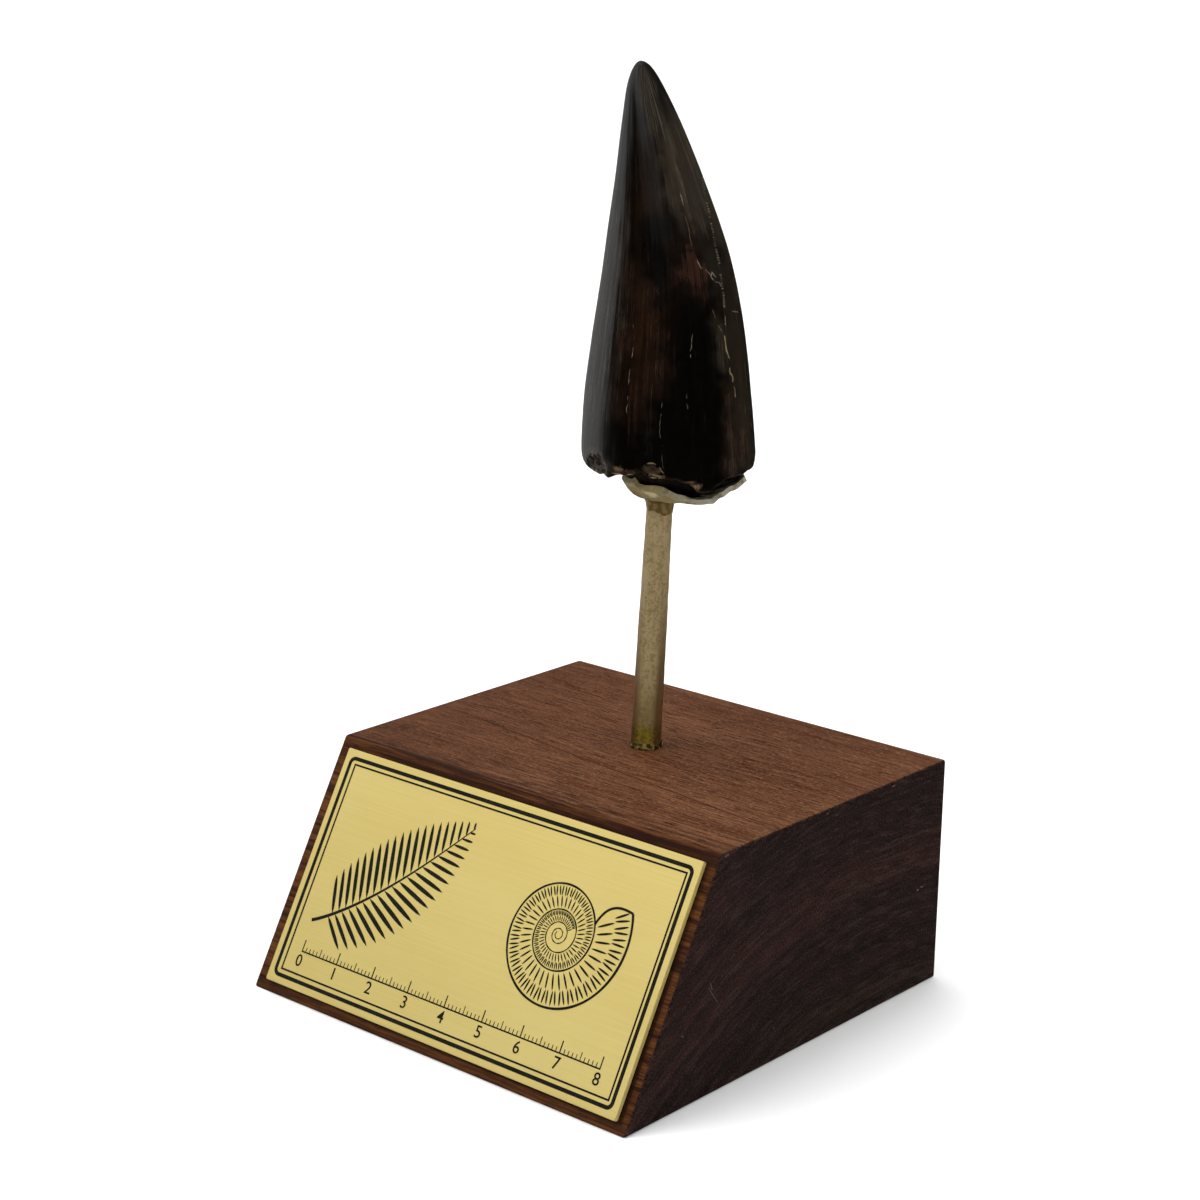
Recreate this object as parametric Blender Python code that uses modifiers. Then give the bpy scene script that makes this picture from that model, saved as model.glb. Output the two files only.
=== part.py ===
"""Fossil tyrannosaur tooth on a display stand.

The tooth stands point up on a thin metal rod, bedded in a dark putty on a small cast cradle.
The rod is let into a hardwood block with a sloping front, which carries a brass plate.

Row frame: origin at the middle of the block's underside, +X to the right along the plate,
-Y towards the reader of the plate, +Z up. The lists below are in millimetres and degrees.
"""

import math
from collections import namedtuple

import bmesh
import bpy
from mathutils import Matrix, Vector

MM = 0.001
GAP = 0.3  # clearance between neighbouring pieces
MERGE = 0.00001  # merge distance of every modifier that merges, in metres

# Wooden block
BLOCK_WIDTH = 100.0
BLOCK_DEPTH = 100.0
BLOCK_HEIGHT = 48.0
FRONT_SETBACK = 26.5  # how far back the front's top edge lies
BLOCK_EASE = 0.6  # rounding of the block's edges

# Brass plate on the sloping front
PLATE_WIDTH = 94.0
PLATE_HEIGHT = 50.0
PLATE_THICKNESS = 1.0
PLATE_SHIFT = 0.6  # its middle, along X
PLATE_FOOT = 2.45  # from the slope's lower edge to the plate's
PLATE_CORNER = 0.4

# Support rod: axis through ROD_FOOT on the block's top, leaning towards LEAN_AZIMUTH
ROD_FOOT = (-0.3, 14.3)
ROD_LEAN = 2.0
LEAN_AZIMUTH = 39.7
ROD_RADII = ((-17.7, 3.05), (0.0, 3.05), (26.0, 2.88), (48.0, 2.66), (51.0, 2.62))  # (height, radius)
SPIGOT_RADIUS = 1.6  # turned-down end that enters the cradle
SPIGOT_LENGTH = 2.4
ROD_SIDES = 32
HOLE_CLEARANCE = 0.35

# Cradle: a shallow cast cup that opens off centre from the rod's head
HUB_CENTRE = (1.1, 15.4)
HUB_RADIUS = 3.3
HUB_FOOT = 99.6
HUB_FLOOR = 102.7  # inner floor of the cup, over the rod's end
CUP_CENTRE = (7.2, 15.4)
CUP_HALF = (13.9, 10.0)
CUP_LIP = 0.9  # thickness at the rim
CUP_BELLY = 0.45  # how far the cup's short side sags below a straight cone
CUP_SIDES = 48
CUP_RIM = (  # (angle, height) of the rim's upper edge
    (-180, 105.8), (-149, 105.4), (-122, 105.6), (-113, 106.3), (-106, 105.3), (-82, 105.8),
    (-64, 104.9), (-47, 104.2), (-33, 104.5), (-24, 105.7), (-10, 106.7), (15, 107.4),
    (40, 107.0), (80, 106.0), (130, 105.6), (180, 105.8),
)

# Tooth: stations up the crown, from the base to the tip
TOOTH_BASE = 106.0
TOOTH_TIP = 186.5
TOOTH_Y = 15.4
TOOTH_SIDES = 80
Station = namedtuple("Station", "height half_length centre_x thickness")
STATIONS = (  # thickness is the ratio of the half thickness to the half length
    Station(0.0, 19.8, 2.95, 0.72),
    Station(14.5, 18.6, 2.45, 0.72),
    Station(24.6, 17.35, 2.4, 0.72),
    Station(34.6, 15.75, 2.2, 0.72),
    Station(44.4, 13.6, 1.45, 0.72),
    Station(58.0, 9.65, -0.7, 0.77),
    Station(69.6, 6.05, -3.3, 0.84),
    Station(76.5, 3.5, -5.1, 0.88),
    Station(80.5, 0.0, -6.2, 0.9),
)
BASE_RIM = (  # (angle, height) of the broken lower edge of the wall
    (-180, 108.4), (-165, 108.0), (-150, 108.8), (-140, 107.3), (-128, 106.7), (-114, 106.6),
    (-110, 107.0), (-105, 106.3), (-95, 107.6), (-85, 108.3), (-74, 108.6), (-52, 108.0),
    (-45, 107.5), (-38, 105.8), (-31, 105.6), (-24, 107.1), (-17, 108.0), (2, 108.5),
    (14, 108.9), (29, 109.0), (48, 108.6), (70, 108.0), (95, 107.4), (120, 108.2),
    (145, 107.5), (165, 108.3), (180, 108.4),
)
UNDERSIDE = (  # (angle, height) of the broken underside, inside the wall's edge
    (-180, 107.2), (-110, 106.9), (-50, 106.5), (-33, 106.2), (-15, 107.6), (10, 108.4),
    (35, 108.3), (70, 107.3), (120, 107.0), (180, 107.2),
)
UNDERSIDE_MIDDLE = 107.3
RIM_FADE = 14.0  # height over which the broken edge's unevenness dies out
EDGE_STEPS = ((0.0, 1.1), (0.5, 0.5), (1.3, 0.12), (2.6, 0.0))  # (above the edge, inset)
CROWN_ROWS = 30

CARINA_HEIGHT = 0.45
CARINA_WIDTH = 1.1
MESIAL_CARINA = ((0, -10), (34, -11), (43, -6), (50, 1), (58, 12), (80.5, 20))  # (height, angle)
DISTAL_CARINA = ((0, 172), (40, 176), (80.5, 178))

Scoop = namedtuple("Scoop", "angle height half_width half_height depth")
SCOOPS = (  # places where the surface has flaked or broken away
    Scoop(-38, 42.0, 3.6, 6.0, 0.4),  # flake scar half way up
    Scoop(-120, 3.2, 1.6, 1.9, 0.8),  # pit at the base
    Scoop(-98, 1.6, 5.0, 2.2, 0.7),  # spalled margin
    Scoop(-76, 4.6, 3.2, 1.7, 0.8),  # chip over the edge
    Scoop(-52, 0.8, 3.2, 2.0, 0.7),
    Scoop(35, 2.5, 4.0, 3.0, 0.7),
    Scoop(118, 2.0, 6.0, 3.0, 0.8),
    Scoop(165, 3.0, 3.0, 2.6, 0.7),
)

# Putty bed between the cradle and the tooth
PUTTY_INSET = 0.75
PUTTY_FLOOR_INSET = 2.4

# Glue runs round the rod, at the block and under the cradle
COLLAR_WIDTH = 0.5
COLLAR_HEIGHT = 0.9
FILLET_WIDTH = 0.4
FILLET_HEIGHT = 1.4
GLUE_SIDES = 28


def new_material(name, colour, roughness, metallic=0.0):
    """Principled material with one colour."""
    material = bpy.data.materials.new(name)
    material.use_nodes = True
    shader = material.node_tree.nodes["Principled BSDF"]
    shader.inputs["Base Color"].default_value = (*colour, 1.0)
    shader.inputs["Roughness"].default_value = roughness
    shader.inputs["Metallic"].default_value = metallic
    return material


def add_object(name, mesh, material, collection):
    """Object of a mesh in a collection, shaded smooth up to 35 degrees."""
    mesh.shade_smooth()
    mesh.set_sharp_from_angle(angle=math.radians(35.0))
    piece = bpy.data.objects.new(name, mesh)
    piece.data.materials.append(material)
    collection.objects.link(piece)
    return piece


def mesh_from_bmesh(name, bm):
    """Mesh of a bmesh with its faces pointing out."""
    bmesh.ops.recalc_face_normals(bm, faces=bm.faces)
    mesh = bpy.data.meshes.new(name)
    bm.to_mesh(mesh)
    bm.free()
    return mesh


def loft_mesh(name, rings, wrap=False):
    """Closed mesh through rings of points in mm.

    With wrap the last ring joins the first, as round a torus. Otherwise the two end rings
    close on a point at their middle.
    """
    bm = bmesh.new()
    rows = [[bm.verts.new(Vector(point) * MM) for point in ring] for ring in rings]
    sides = len(rows[0])
    pairs = list(zip(rows, rows[1:]))
    if wrap:
        pairs.append((rows[-1], rows[0]))
    for lower, upper in pairs:
        for i in range(sides):
            j = (i + 1) % sides
            bm.faces.new((lower[i], lower[j], upper[j], upper[i]))
    if not wrap:
        for row in (rows[0], rows[-1]):
            middle = sum((vert.co for vert in row), Vector()) / sides
            pole = bm.verts.new(middle)
            for i in range(sides):
                bm.faces.new((pole, row[(i + 1) % sides], row[i]))
    return mesh_from_bmesh(name, bm)


def angles(sides):
    """Evenly spaced angles round a circle, in degrees from -180."""
    return [-180.0 + 360.0 * i / sides for i in range(sides)]


def curve_value(points, x):
    """Smooth value at x of a curve through (x, value) points, level at its own ends."""
    if x <= points[0][0]:
        return points[0][1]
    for (x0, y0), (x1, y1) in zip(points, points[1:]):
        if x <= x1:
            step = (x - x0) / (x1 - x0)
            return y0 + (y1 - y0) * step * step * (3.0 - 2.0 * step)
    return points[-1][1]


def turn_between(a, b):
    """Signed difference of two angles, from -180 to 180 degrees."""
    return (a - b + 180.0) % 360.0 - 180.0


def catmull(values, knots, x):
    """Value at x of a Catmull-Rom curve through values at increasing knots."""
    last = len(knots) - 1
    k = max(0, min(last - 1, sum(knot <= x for knot in knots) - 1))

    def slope(i):
        lower, upper = max(i - 1, 0), min(i + 1, last)
        return (values[upper] - values[lower]) / (knots[upper] - knots[lower])

    span = knots[k + 1] - knots[k]
    s = (x - knots[k]) / span
    return (
        values[k] * (1 + 2 * s) * (1 - s) ** 2
        + slope(k) * span * s * (1 - s) ** 2
        + values[k + 1] * s * s * (3 - 2 * s)
        + slope(k + 1) * span * s * s * (s - 1)
    )


def section(height):
    """Half length, middle along X and half thickness of the crown at a height above its base.

    The stations are read against the root of the distance from the tip, which rounds the tip.
    """
    tallest = STATIONS[-1].height
    knots = [math.sqrt(1.0 - station.height / tallest) for station in reversed(STATIONS)]
    x = math.sqrt(max(0.0, 1.0 - height / tallest))
    half, centre, ratio = (
        catmull([getattr(station, field) for station in reversed(STATIONS)], knots, x)
        for field in ("half_length", "centre_x", "thickness")
    )
    return half, centre, half * ratio


def relief(angle, height, girth):
    """Inward offset of the crown's surface: flaked places less the two ridged carinae."""
    offset = 0.0
    for scoop in SCOOPS:
        across = math.radians(turn_between(angle, scoop.angle)) * girth / scoop.half_width
        up = (height - scoop.height) / scoop.half_height
        offset += scoop.depth * max(0.0, 1.0 - across * across - up * up) ** 0.5
    for carina in (MESIAL_CARINA, DISTAL_CARINA):
        away = math.radians(turn_between(angle, curve_value(carina, height))) * girth
        ridge = CARINA_HEIGHT * min(1.0, girth / 8.0)
        offset -= ridge * math.exp(-((away / CARINA_WIDTH) ** 2))
    return offset


def crown_point(angle, z, inset=0.0):
    """Point of the crown's surface at an angle from +X and a height z."""
    height = min(max(z - TOOTH_BASE, 0.0), STATIONS[-1].height)
    half, centre, thick = section(height)
    turn = math.radians(angle)
    girth = max(0.3, (half + thick) / 2.0)
    shrink = 1.0 - min(0.9, (inset + relief(angle, height, girth)) / girth)
    return (
        centre + half * shrink * math.cos(turn),
        TOOTH_Y + thick * shrink * math.sin(turn),
        z,
    )


def crown_ring(level, inset=0.0):
    """Ring of the crown at a level above the broken edge, whose unevenness fades upwards."""
    tall = TOOTH_TIP - TOOTH_BASE
    fade = max(0.0, 1.0 - level / RIM_FADE)
    nominal = TOOTH_BASE + 1.5 + level * (tall - 1.5) / tall
    ring = []
    for angle in angles(TOOTH_SIDES):
        edge = curve_value(BASE_RIM, angle)
        z = nominal + (edge - TOOTH_BASE - 1.5) * fade
        ring.append(crown_point(angle, z, inset))
    return ring


def underside_ring(share):
    """Ring on the broken underside, at a share of the wall's half sizes."""
    half, centre, thick = section(0.0)
    ring = []
    for angle in angles(TOOTH_SIDES):
        turn = math.radians(angle)
        level = curve_value(UNDERSIDE, angle) * share / 0.82
        z = level + UNDERSIDE_MIDDLE * (1.0 - share / 0.82)
        ring.append((
            centre + half * share * math.cos(turn),
            TOOTH_Y + thick * share * math.sin(turn),
            z,
        ))
    return ring


def build_tooth(material, collection):
    """The whole tooth as one solid: underside, broken edge, crown and tip."""
    rings = [underside_ring(share) for share in (0.28, 0.55, 0.82)]
    rings += [crown_ring(level, inset) for level, inset in EDGE_STEPS]
    tall = TOOTH_TIP - TOOTH_BASE
    start = EDGE_STEPS[-1][0]
    for row in range(1, CROWN_ROWS + 1):
        left = (1.0 - row / (CROWN_ROWS + 0.6)) ** 1.5
        rings.append(crown_ring(tall - (tall - start) * left))
    mesh = loft_mesh("tooth", rings)
    return add_object("tooth", mesh, material, collection)


def cup_plan(angle, inset=0.0):
    """Plan point of the cup's rim at an angle about its own middle."""
    turn = math.radians(angle)
    return (
        CUP_CENTRE[0] + (CUP_HALF[0] - inset) * math.cos(turn),
        CUP_CENTRE[1] + (CUP_HALF[1] - inset) * math.sin(turn),
    )


def cup_outside(angle, share):
    """Point under the cup, from the hub at share 0 to the rim's lower edge at share 1."""
    turn = math.radians(angle)
    hub = Vector(HUB_CENTRE) + HUB_RADIUS * Vector((math.cos(turn), math.sin(turn)))
    plan = hub.lerp(Vector(cup_plan(angle)), share)
    belly = 1.0 + CUP_BELLY * max(0.0, -math.cos(turn))
    rim = curve_value(CUP_RIM, angle) - CUP_LIP
    return (plan.x, plan.y, HUB_FOOT + (rim - HUB_FOOT) * share**belly)


def cup_inside(angle, share):
    """Point in the cup, from the floor over the hub at share 0 to the rim at share 1."""
    plan = Vector(HUB_CENTRE).lerp(Vector(cup_plan(angle, 0.5)), share)
    rim = curve_value(CUP_RIM, angle)
    return (plan.x, plan.y, HUB_FLOOR + (rim - HUB_FLOOR) * share**2)


def rod_axis(height):
    """Point on the rod's axis at a height above the block's top, measured along the rod."""
    lean = math.radians(ROD_LEAN)
    azimuth = math.radians(LEAN_AZIMUTH)
    aside = height * math.sin(lean)
    return Vector((
        ROD_FOOT[0] + aside * math.cos(azimuth),
        ROD_FOOT[1] + aside * math.sin(azimuth),
        BLOCK_HEIGHT + height * math.cos(lean),
    ))


def rod_rotation():
    """Rotation that leans the rod."""
    across = Vector((-math.sin(math.radians(LEAN_AZIMUTH)), math.cos(math.radians(LEAN_AZIMUTH)), 0))
    return Matrix.Rotation(math.radians(ROD_LEAN), 4, across)


def rod_cutter(name, low, high, radius, cutters):
    """Round cutter on the rod's axis between two heights above the block's top."""
    bm = bmesh.new()
    bmesh.ops.create_cone(
        bm, cap_ends=True, segments=ROD_SIDES, radius1=radius * MM, radius2=radius * MM,
        depth=(high - low) * MM,
    )
    mesh = mesh_from_bmesh(name, bm)
    cutter = bpy.data.objects.new(name, mesh)
    cutter.location = rod_axis((low + high) / 2.0) * MM
    cutter.rotation_euler = rod_rotation().to_euler()
    cutter.hide_render = True
    cutter.display_type = "WIRE"
    cutters.objects.link(cutter)
    return cutter


def cut(piece, cutter):
    """Boolean difference left on the piece."""
    modifier = piece.modifiers.new("cut " + cutter.name, "BOOLEAN")
    modifier.operation = "DIFFERENCE"
    modifier.solver = "EXACT"
    modifier.object = cutter


def build_cradle(material, collection, cutters):
    """Cast cup with a blind socket for the rod's end."""
    around = angles(CUP_SIDES)
    rings = [[cup_outside(angle, share) for angle in around] for share in (0, 0.2, 0.45, 0.7, 0.88, 1)]
    rings += [[cup_inside(angle, share) for angle in around] for share in (1, 0.85, 0.65, 0.4, 0.15)]
    piece = add_object("tooth_cradle", loft_mesh("tooth_cradle", rings), material, collection)
    head = ROD_RADII[-1][0]
    socket = rod_cutter(
        "socket_cutter", head - 3.0, head + SPIGOT_LENGTH + GAP, SPIGOT_RADIUS + HOLE_CLEARANCE, cutters
    )
    cut(piece, socket)
    return piece


def build_putty(material, collection):
    """Putty that fills the space between the cup and the tooth's underside."""
    def lower(angle, share):
        x, y, z = cup_inside(angle, share)
        return (x, y, z + GAP)

    def upper(angle, share):
        plan = Vector(CUP_CENTRE).lerp(Vector(cup_plan(angle, PUTTY_INSET)), share)
        half, centre, thick = section(0.0)
        along, across = (plan.x - centre) / half, (plan.y - TOOTH_Y) / thick
        out = min(1.0, math.hypot(along, across) / 0.82)
        turn = math.degrees(math.atan2(across, along))
        roof = UNDERSIDE_MIDDLE + (curve_value(UNDERSIDE, turn) - UNDERSIDE_MIDDLE) * out
        return (plan.x, plan.y, roof - GAP - 0.1)

    around = angles(CUP_SIDES)
    floor = 1.0 - PUTTY_FLOOR_INSET / CUP_HALF[1]
    rings = [[lower(angle, share) for angle in around] for share in (0.2, 0.5, floor)]
    rings += [[upper(angle, share) for angle in around] for share in (1.0, 0.7, 0.35)]
    return add_object("putty_bed", loft_mesh("putty_bed", rings), material, collection)


def build_rod(material, collection):
    """Turned rod, a profile spun about its own axis and leant."""
    head = ROD_RADII[-1][0]
    profile = [(0.0, head + SPIGOT_LENGTH), (SPIGOT_RADIUS, head + SPIGOT_LENGTH), (SPIGOT_RADIUS, head)]
    profile += [(radius, height) for height, radius in reversed(ROD_RADII)]
    profile.append((0.0, ROD_RADII[0][0]))
    bm = bmesh.new()
    verts = [bm.verts.new((radius * MM, 0.0, height * MM)) for radius, height in profile]
    for first, second in zip(verts, verts[1:]):
        bm.edges.new((first, second))
    mesh = bpy.data.meshes.new("support_rod")
    bm.to_mesh(mesh)
    bm.free()
    piece = bpy.data.objects.new("support_rod", mesh)
    mesh.materials.append(material)
    piece.location = rod_axis(0.0) * MM
    piece.rotation_euler = rod_rotation().to_euler()
    screw = piece.modifiers.new("turned", "SCREW")
    screw.steps = screw.render_steps = ROD_SIDES
    screw.use_merge_vertices = True
    screw.merge_threshold = MERGE
    screw.use_smooth_shade = True
    collection.objects.link(piece)
    return piece


def build_block(material, collection, cutters):
    """Wooden block with a sloping front and a blind hole for the rod."""
    bm = bmesh.new()
    bmesh.ops.create_cube(bm, size=1.0)
    for vert in bm.verts:
        front_top = vert.co.y < 0 < vert.co.z
        vert.co.x *= BLOCK_WIDTH * MM
        vert.co.y = vert.co.y * BLOCK_DEPTH * MM + (FRONT_SETBACK * MM if front_top else 0.0)
        vert.co.z = (vert.co.z + 0.5) * BLOCK_HEIGHT * MM
    piece = add_object("wood_base", mesh_from_bmesh("wood_base", bm), material, collection)
    ease = piece.modifiers.new("eased edges", "BEVEL")
    ease.width = BLOCK_EASE * MM
    ease.segments = 3
    ease.limit_method = "ANGLE"
    foot = ROD_RADII[0][0]
    hole = rod_cutter("rod_hole_cutter", foot - GAP, 6.0, ROD_RADII[0][1] + HOLE_CLEARANCE, cutters)
    cut(piece, hole)
    return piece


def build_plate(material, collection):
    """Brass plate lying on the sloping front."""
    slope = math.hypot(FRONT_SETBACK, BLOCK_HEIGHT)
    up = Vector((0.0, FRONT_SETBACK, BLOCK_HEIGHT)) / slope
    out = Vector((0.0, -BLOCK_HEIGHT, FRONT_SETBACK)) / slope
    foot = Vector((PLATE_SHIFT, -BLOCK_DEPTH / 2.0, 0.0))
    centre = foot + up * (PLATE_FOOT + PLATE_HEIGHT / 2.0) + out * (GAP + PLATE_THICKNESS / 2.0)
    bm = bmesh.new()
    bmesh.ops.create_cube(bm, size=1.0)
    bmesh.ops.scale(bm, vec=Vector((PLATE_WIDTH, PLATE_HEIGHT, PLATE_THICKNESS)) * MM, verts=bm.verts)
    corners = [edge for edge in bm.edges if abs((edge.verts[0].co - edge.verts[1].co).z) > 0.0]
    bmesh.ops.bevel(
        bm, geom=corners, offset=PLATE_CORNER * MM, segments=4, profile=0.5, affect="EDGES"
    )
    piece = add_object("name_plate", mesh_from_bmesh("name_plate", bm), material, collection)
    piece.location = centre * MM
    piece.rotation_euler = (math.atan2(BLOCK_HEIGHT, FRONT_SETBACK), 0.0, 0.0)
    return piece


def glue_run(name, height, inner, width, tall, lumps, material, collection):
    """Uneven ring of glue round the rod, standing on a level height above the block's top."""
    def ring(out, up):
        points = []
        for angle in angles(GLUE_SIDES):
            turn = math.radians(angle)
            swell = 1.0 + lumps * (math.sin(3 * turn + 0.8) + 0.6 * math.sin(7 * turn + 2.0)) / 1.6
            radius = inner + out * width * swell
            centre = rod_axis(height + up * tall)
            points.append((
                centre.x + radius * math.cos(turn),
                centre.y + radius * math.sin(turn),
                BLOCK_HEIGHT + height + up * tall * (swell if up > 0 else 1.0),
            ))
        return points

    profile = ((0.0, 0.0), (1.0, 0.0), (0.85, 0.45), (0.45, 0.8), (0.0, 1.0))
    rings = [ring(out, up) for out, up in profile]
    return add_object(name, loft_mesh(name, rings, wrap=True), material, collection)


def main():
    """Builds every piece of the tooth and its stand."""
    for old in list(bpy.data.objects):
        bpy.data.objects.remove(old, do_unlink=True)
    parts = bpy.data.collections.new("fossil_tooth_on_stand")
    cutters = bpy.data.collections.new("cutters")
    for collection in (parts, cutters):
        bpy.context.scene.collection.children.link(collection)

    wood = new_material("hardwood", (0.14, 0.065, 0.036), 0.45)
    brass = new_material("brushed_brass", (0.62, 0.47, 0.17), 0.35, 1.0)
    bronze = new_material("dull_bronze", (0.25, 0.17, 0.09), 0.5, 0.8)
    cast = new_material("pale_cast", (0.35, 0.28, 0.17), 0.6, 0.4)
    putty = new_material("black_putty", (0.01, 0.01, 0.01), 0.6)
    enamel = new_material("fossil_enamel", (0.03, 0.018, 0.01), 0.3)
    glue = new_material("amber_glue", (0.16, 0.09, 0.02), 0.25)

    build_block(wood, parts, cutters)
    build_plate(brass, parts)
    build_rod(bronze, parts)
    build_cradle(cast, parts, cutters)
    build_putty(putty, parts)
    build_tooth(enamel, parts)
    glue_run(
        "glue_collar", GAP, ROD_RADII[1][1] + GAP, COLLAR_WIDTH, COLLAR_HEIGHT, 0.25, glue, parts
    )
    under_hub = HUB_FOOT - BLOCK_HEIGHT - GAP - FILLET_HEIGHT * 1.1
    glue_run(
        "glue_fillet", under_hub, ROD_RADII[-2][1] + GAP, FILLET_WIDTH, FILLET_HEIGHT, 0.08, glue, parts
    )


main()
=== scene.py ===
"""Fossil tyrannosaur tooth on a hardwood stand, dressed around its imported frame.

Sizes in the classes are in millimetres and degrees, in the row frame: origin at the middle of
the block's underside, +X to the right along the plate, -Y towards its reader, +Z up.
"""

import logging
import math
from dataclasses import dataclass, field
from enum import Enum
from typing import Any, Callable, Optional, Sequence, Union

import bmesh
import bpy
import numpy as np
from mathutils import Matrix, Vector


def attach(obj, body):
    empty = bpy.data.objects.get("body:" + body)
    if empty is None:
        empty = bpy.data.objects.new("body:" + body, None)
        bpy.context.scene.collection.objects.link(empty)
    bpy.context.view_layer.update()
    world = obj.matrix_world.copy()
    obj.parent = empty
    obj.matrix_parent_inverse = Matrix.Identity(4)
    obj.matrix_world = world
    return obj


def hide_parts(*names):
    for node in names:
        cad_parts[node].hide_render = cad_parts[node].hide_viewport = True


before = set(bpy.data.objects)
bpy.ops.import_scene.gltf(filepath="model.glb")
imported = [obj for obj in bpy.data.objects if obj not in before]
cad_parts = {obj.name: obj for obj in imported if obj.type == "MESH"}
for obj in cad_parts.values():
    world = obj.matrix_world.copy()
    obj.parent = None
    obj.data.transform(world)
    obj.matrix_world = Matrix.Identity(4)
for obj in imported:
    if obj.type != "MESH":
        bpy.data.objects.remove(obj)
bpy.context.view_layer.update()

MM = 0.001
BODY = "root"
# Half of the block's length and depth, its height, and how far its front leans back.
BLOCK_HALF = 50.0
BLOCK_TOP = 48.0
SETBACK = 26.5
LOG = logging.getLogger("fossil_tooth_stand")

Array = np.ndarray
Pair = tuple[float, float]
Place = tuple[float, float, float]
Colour = Place
Points = Sequence[Pair]
Rows = Sequence[tuple[float, ...]]
Socket = bpy.types.NodeSocket
Mesh = bpy.types.Mesh
Piece = bpy.types.Object
Material = bpy.types.Material
Sockets = dict[str, Any]


class Slot(Enum):
    """Names of material slots."""

    BRASS = "brushed_brass"
    BRONZE = "dull_bronze"
    CAST = "pale_cast"
    PUTTY = "black_putty"
    ENAMEL = "fossil_enamel"
    GLUE = "amber_glue"


# ---- node trees


def math_method(operation: str, reflected: bool = False) -> Callable[..., "Num"]:
    """Makes a method of Num that writes one Math node.

    Args:
        operation: the Math node's operation.
        reflected: whether the number comes after the other operand.

    Returns:
        The method.
    """

    def method(number: "Num", *others: Union["Num", float]) -> "Num":
        """Result of the operation on the number and the other operands."""
        terms = (*others, number) if reflected else (number, *others)
        node = number.tree.node("ShaderNodeMath", {"operation": operation}, dict(enumerate(terms)))
        return Num(number.tree, node.outputs[0])

    return method


class Num:
    """A number in a node tree, with its arithmetic written as Python expressions."""

    __add__ = __radd__ = math_method("ADD")
    __sub__ = math_method("SUBTRACT")
    __rsub__ = math_method("SUBTRACT", reflected=True)
    __mul__ = __rmul__ = math_method("MULTIPLY")
    __pow__ = math_method("POWER")
    __abs__ = math_method("ABSOLUTE")
    least = math_method("MINIMUM")
    most = math_method("MAXIMUM")

    def __init__(self, tree: "Tree", socket: Socket) -> None:
        """Wraps a socket of a tree."""
        self.tree = tree
        self.socket = socket

    def ramp(self, low: float, high: float) -> "Num":
        """Smooth step from 0 at low to 1 at high."""
        node = self.tree.node(
            "ShaderNodeMapRange",
            {"interpolation_type": "SMOOTHSTEP", "clamp": True},
            {"Value": self, "From Min": low, "From Max": high},
        )
        return Num(self.tree, node.outputs["Result"])


class Tree:
    """Writes nodes into a shader tree or a geometry tree."""

    def __init__(self, nodes: bpy.types.NodeTree) -> None:
        """Wraps a node tree."""
        self.nodes = nodes

    def node(
        self, kind: str, settings: Optional[dict] = None, inputs: Optional[dict] = None
    ) -> bpy.types.Node:
        """Adds a node.

        Args:
            kind: the node's type.
            settings: its properties, set first.
            inputs: values or links of its sockets, by name or place.

        Returns:
            The new node.
        """
        made = self.nodes.nodes.new(kind)
        for name, value in (settings or {}).items():
            setattr(made, name, value)
        for key, value in (inputs or {}).items():
            self.feed(made.inputs[key], value)
        return made

    def feed(self, socket: Socket, value: Any) -> None:
        """Sets a socket's value, or links a socket or a Num to it."""
        source = value.socket if isinstance(value, Num) else value
        if isinstance(source, Socket):
            self.nodes.links.new(source, socket)
        elif socket.type == "RGBA" and len(source) == 3:
            socket.default_value = (*source, 1.0)
        else:
            socket.default_value = source

    def place(self) -> Socket:
        """Object coordinates, in metres."""
        return self.node("ShaderNodeTexCoord").outputs["Object"]

    def trait(self, name: str) -> bpy.types.Node:
        """Node that reads an attribute of the mesh."""
        return self.node("ShaderNodeAttribute", {"attribute_type": "GEOMETRY", "attribute_name": name})

    def split(self, vector: Socket) -> tuple[Num, Num, Num]:
        """The three numbers of a vector."""
        node = self.node("ShaderNodeSeparateXYZ", inputs={0: vector})
        return tuple(Num(self, output) for output in node.outputs)

    def join(self, x: Any, y: Any, z: Any) -> Socket:
        """Vector of three numbers."""
        return self.node("ShaderNodeCombineXYZ", inputs={0: x, 1: y, 2: z}).outputs[0]

    def noise(self, vector: Any, scale: Any = 1.0, detail: float = 2.0, rough: float = 0.5) -> Num:
        """Smooth noise, mostly between 0.25 and 0.75.

        Args:
            vector: where it is read.
            scale: cells per unit, or one number for each axis.
            detail: number of finer layers.
            rough: strength of the finer layers.

        Returns:
            The noise's value.
        """
        if isinstance(scale, tuple):
            stretched = self.node("ShaderNodeVectorMath", {"operation": "MULTIPLY"}, {0: vector, 1: scale})
            vector, scale = stretched.outputs[0], 1.0
        node = self.node(
            "ShaderNodeTexNoise",
            inputs={"Vector": vector, "Scale": scale, "Detail": detail, "Roughness": rough},
        )
        return Num(self, node.outputs[0])

    def layered(self, colour: Any, *layers: tuple[Any, Any]) -> Socket:
        """Colours laid over one another.

        Args:
            colour: the lowest colour.
            layers: (share, colour) of each layer above it, with 0 for none of it and 1 for all.

        Returns:
            The colour that shows.
        """
        for share, over in layers:
            node = self.node("ShaderNodeMix", {"data_type": "RGBA"}, {0: share, 6: colour, 7: over})
            colour = node.outputs[2]
        return colour

    def skin(
        self, colour: Any, rough: Union[Num, float], relief: Num, depth: float, strength: float
    ) -> Sockets:
        """What varies over a surface.

        Args:
            colour: its colour.
            rough: its roughness.
            relief: height of its relief, from 0 to 1.
            depth: depth of the relief, in mm.
            strength: how strongly the relief shows.

        Returns:
            The values of the shader's sockets.
        """
        bump = self.node(
            "ShaderNodeBump", inputs={"Strength": strength, "Distance": depth * MM, "Height": relief}
        )
        return {"Base Color": colour, "Roughness": rough, "Normal": bump.outputs["Normal"]}


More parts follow.
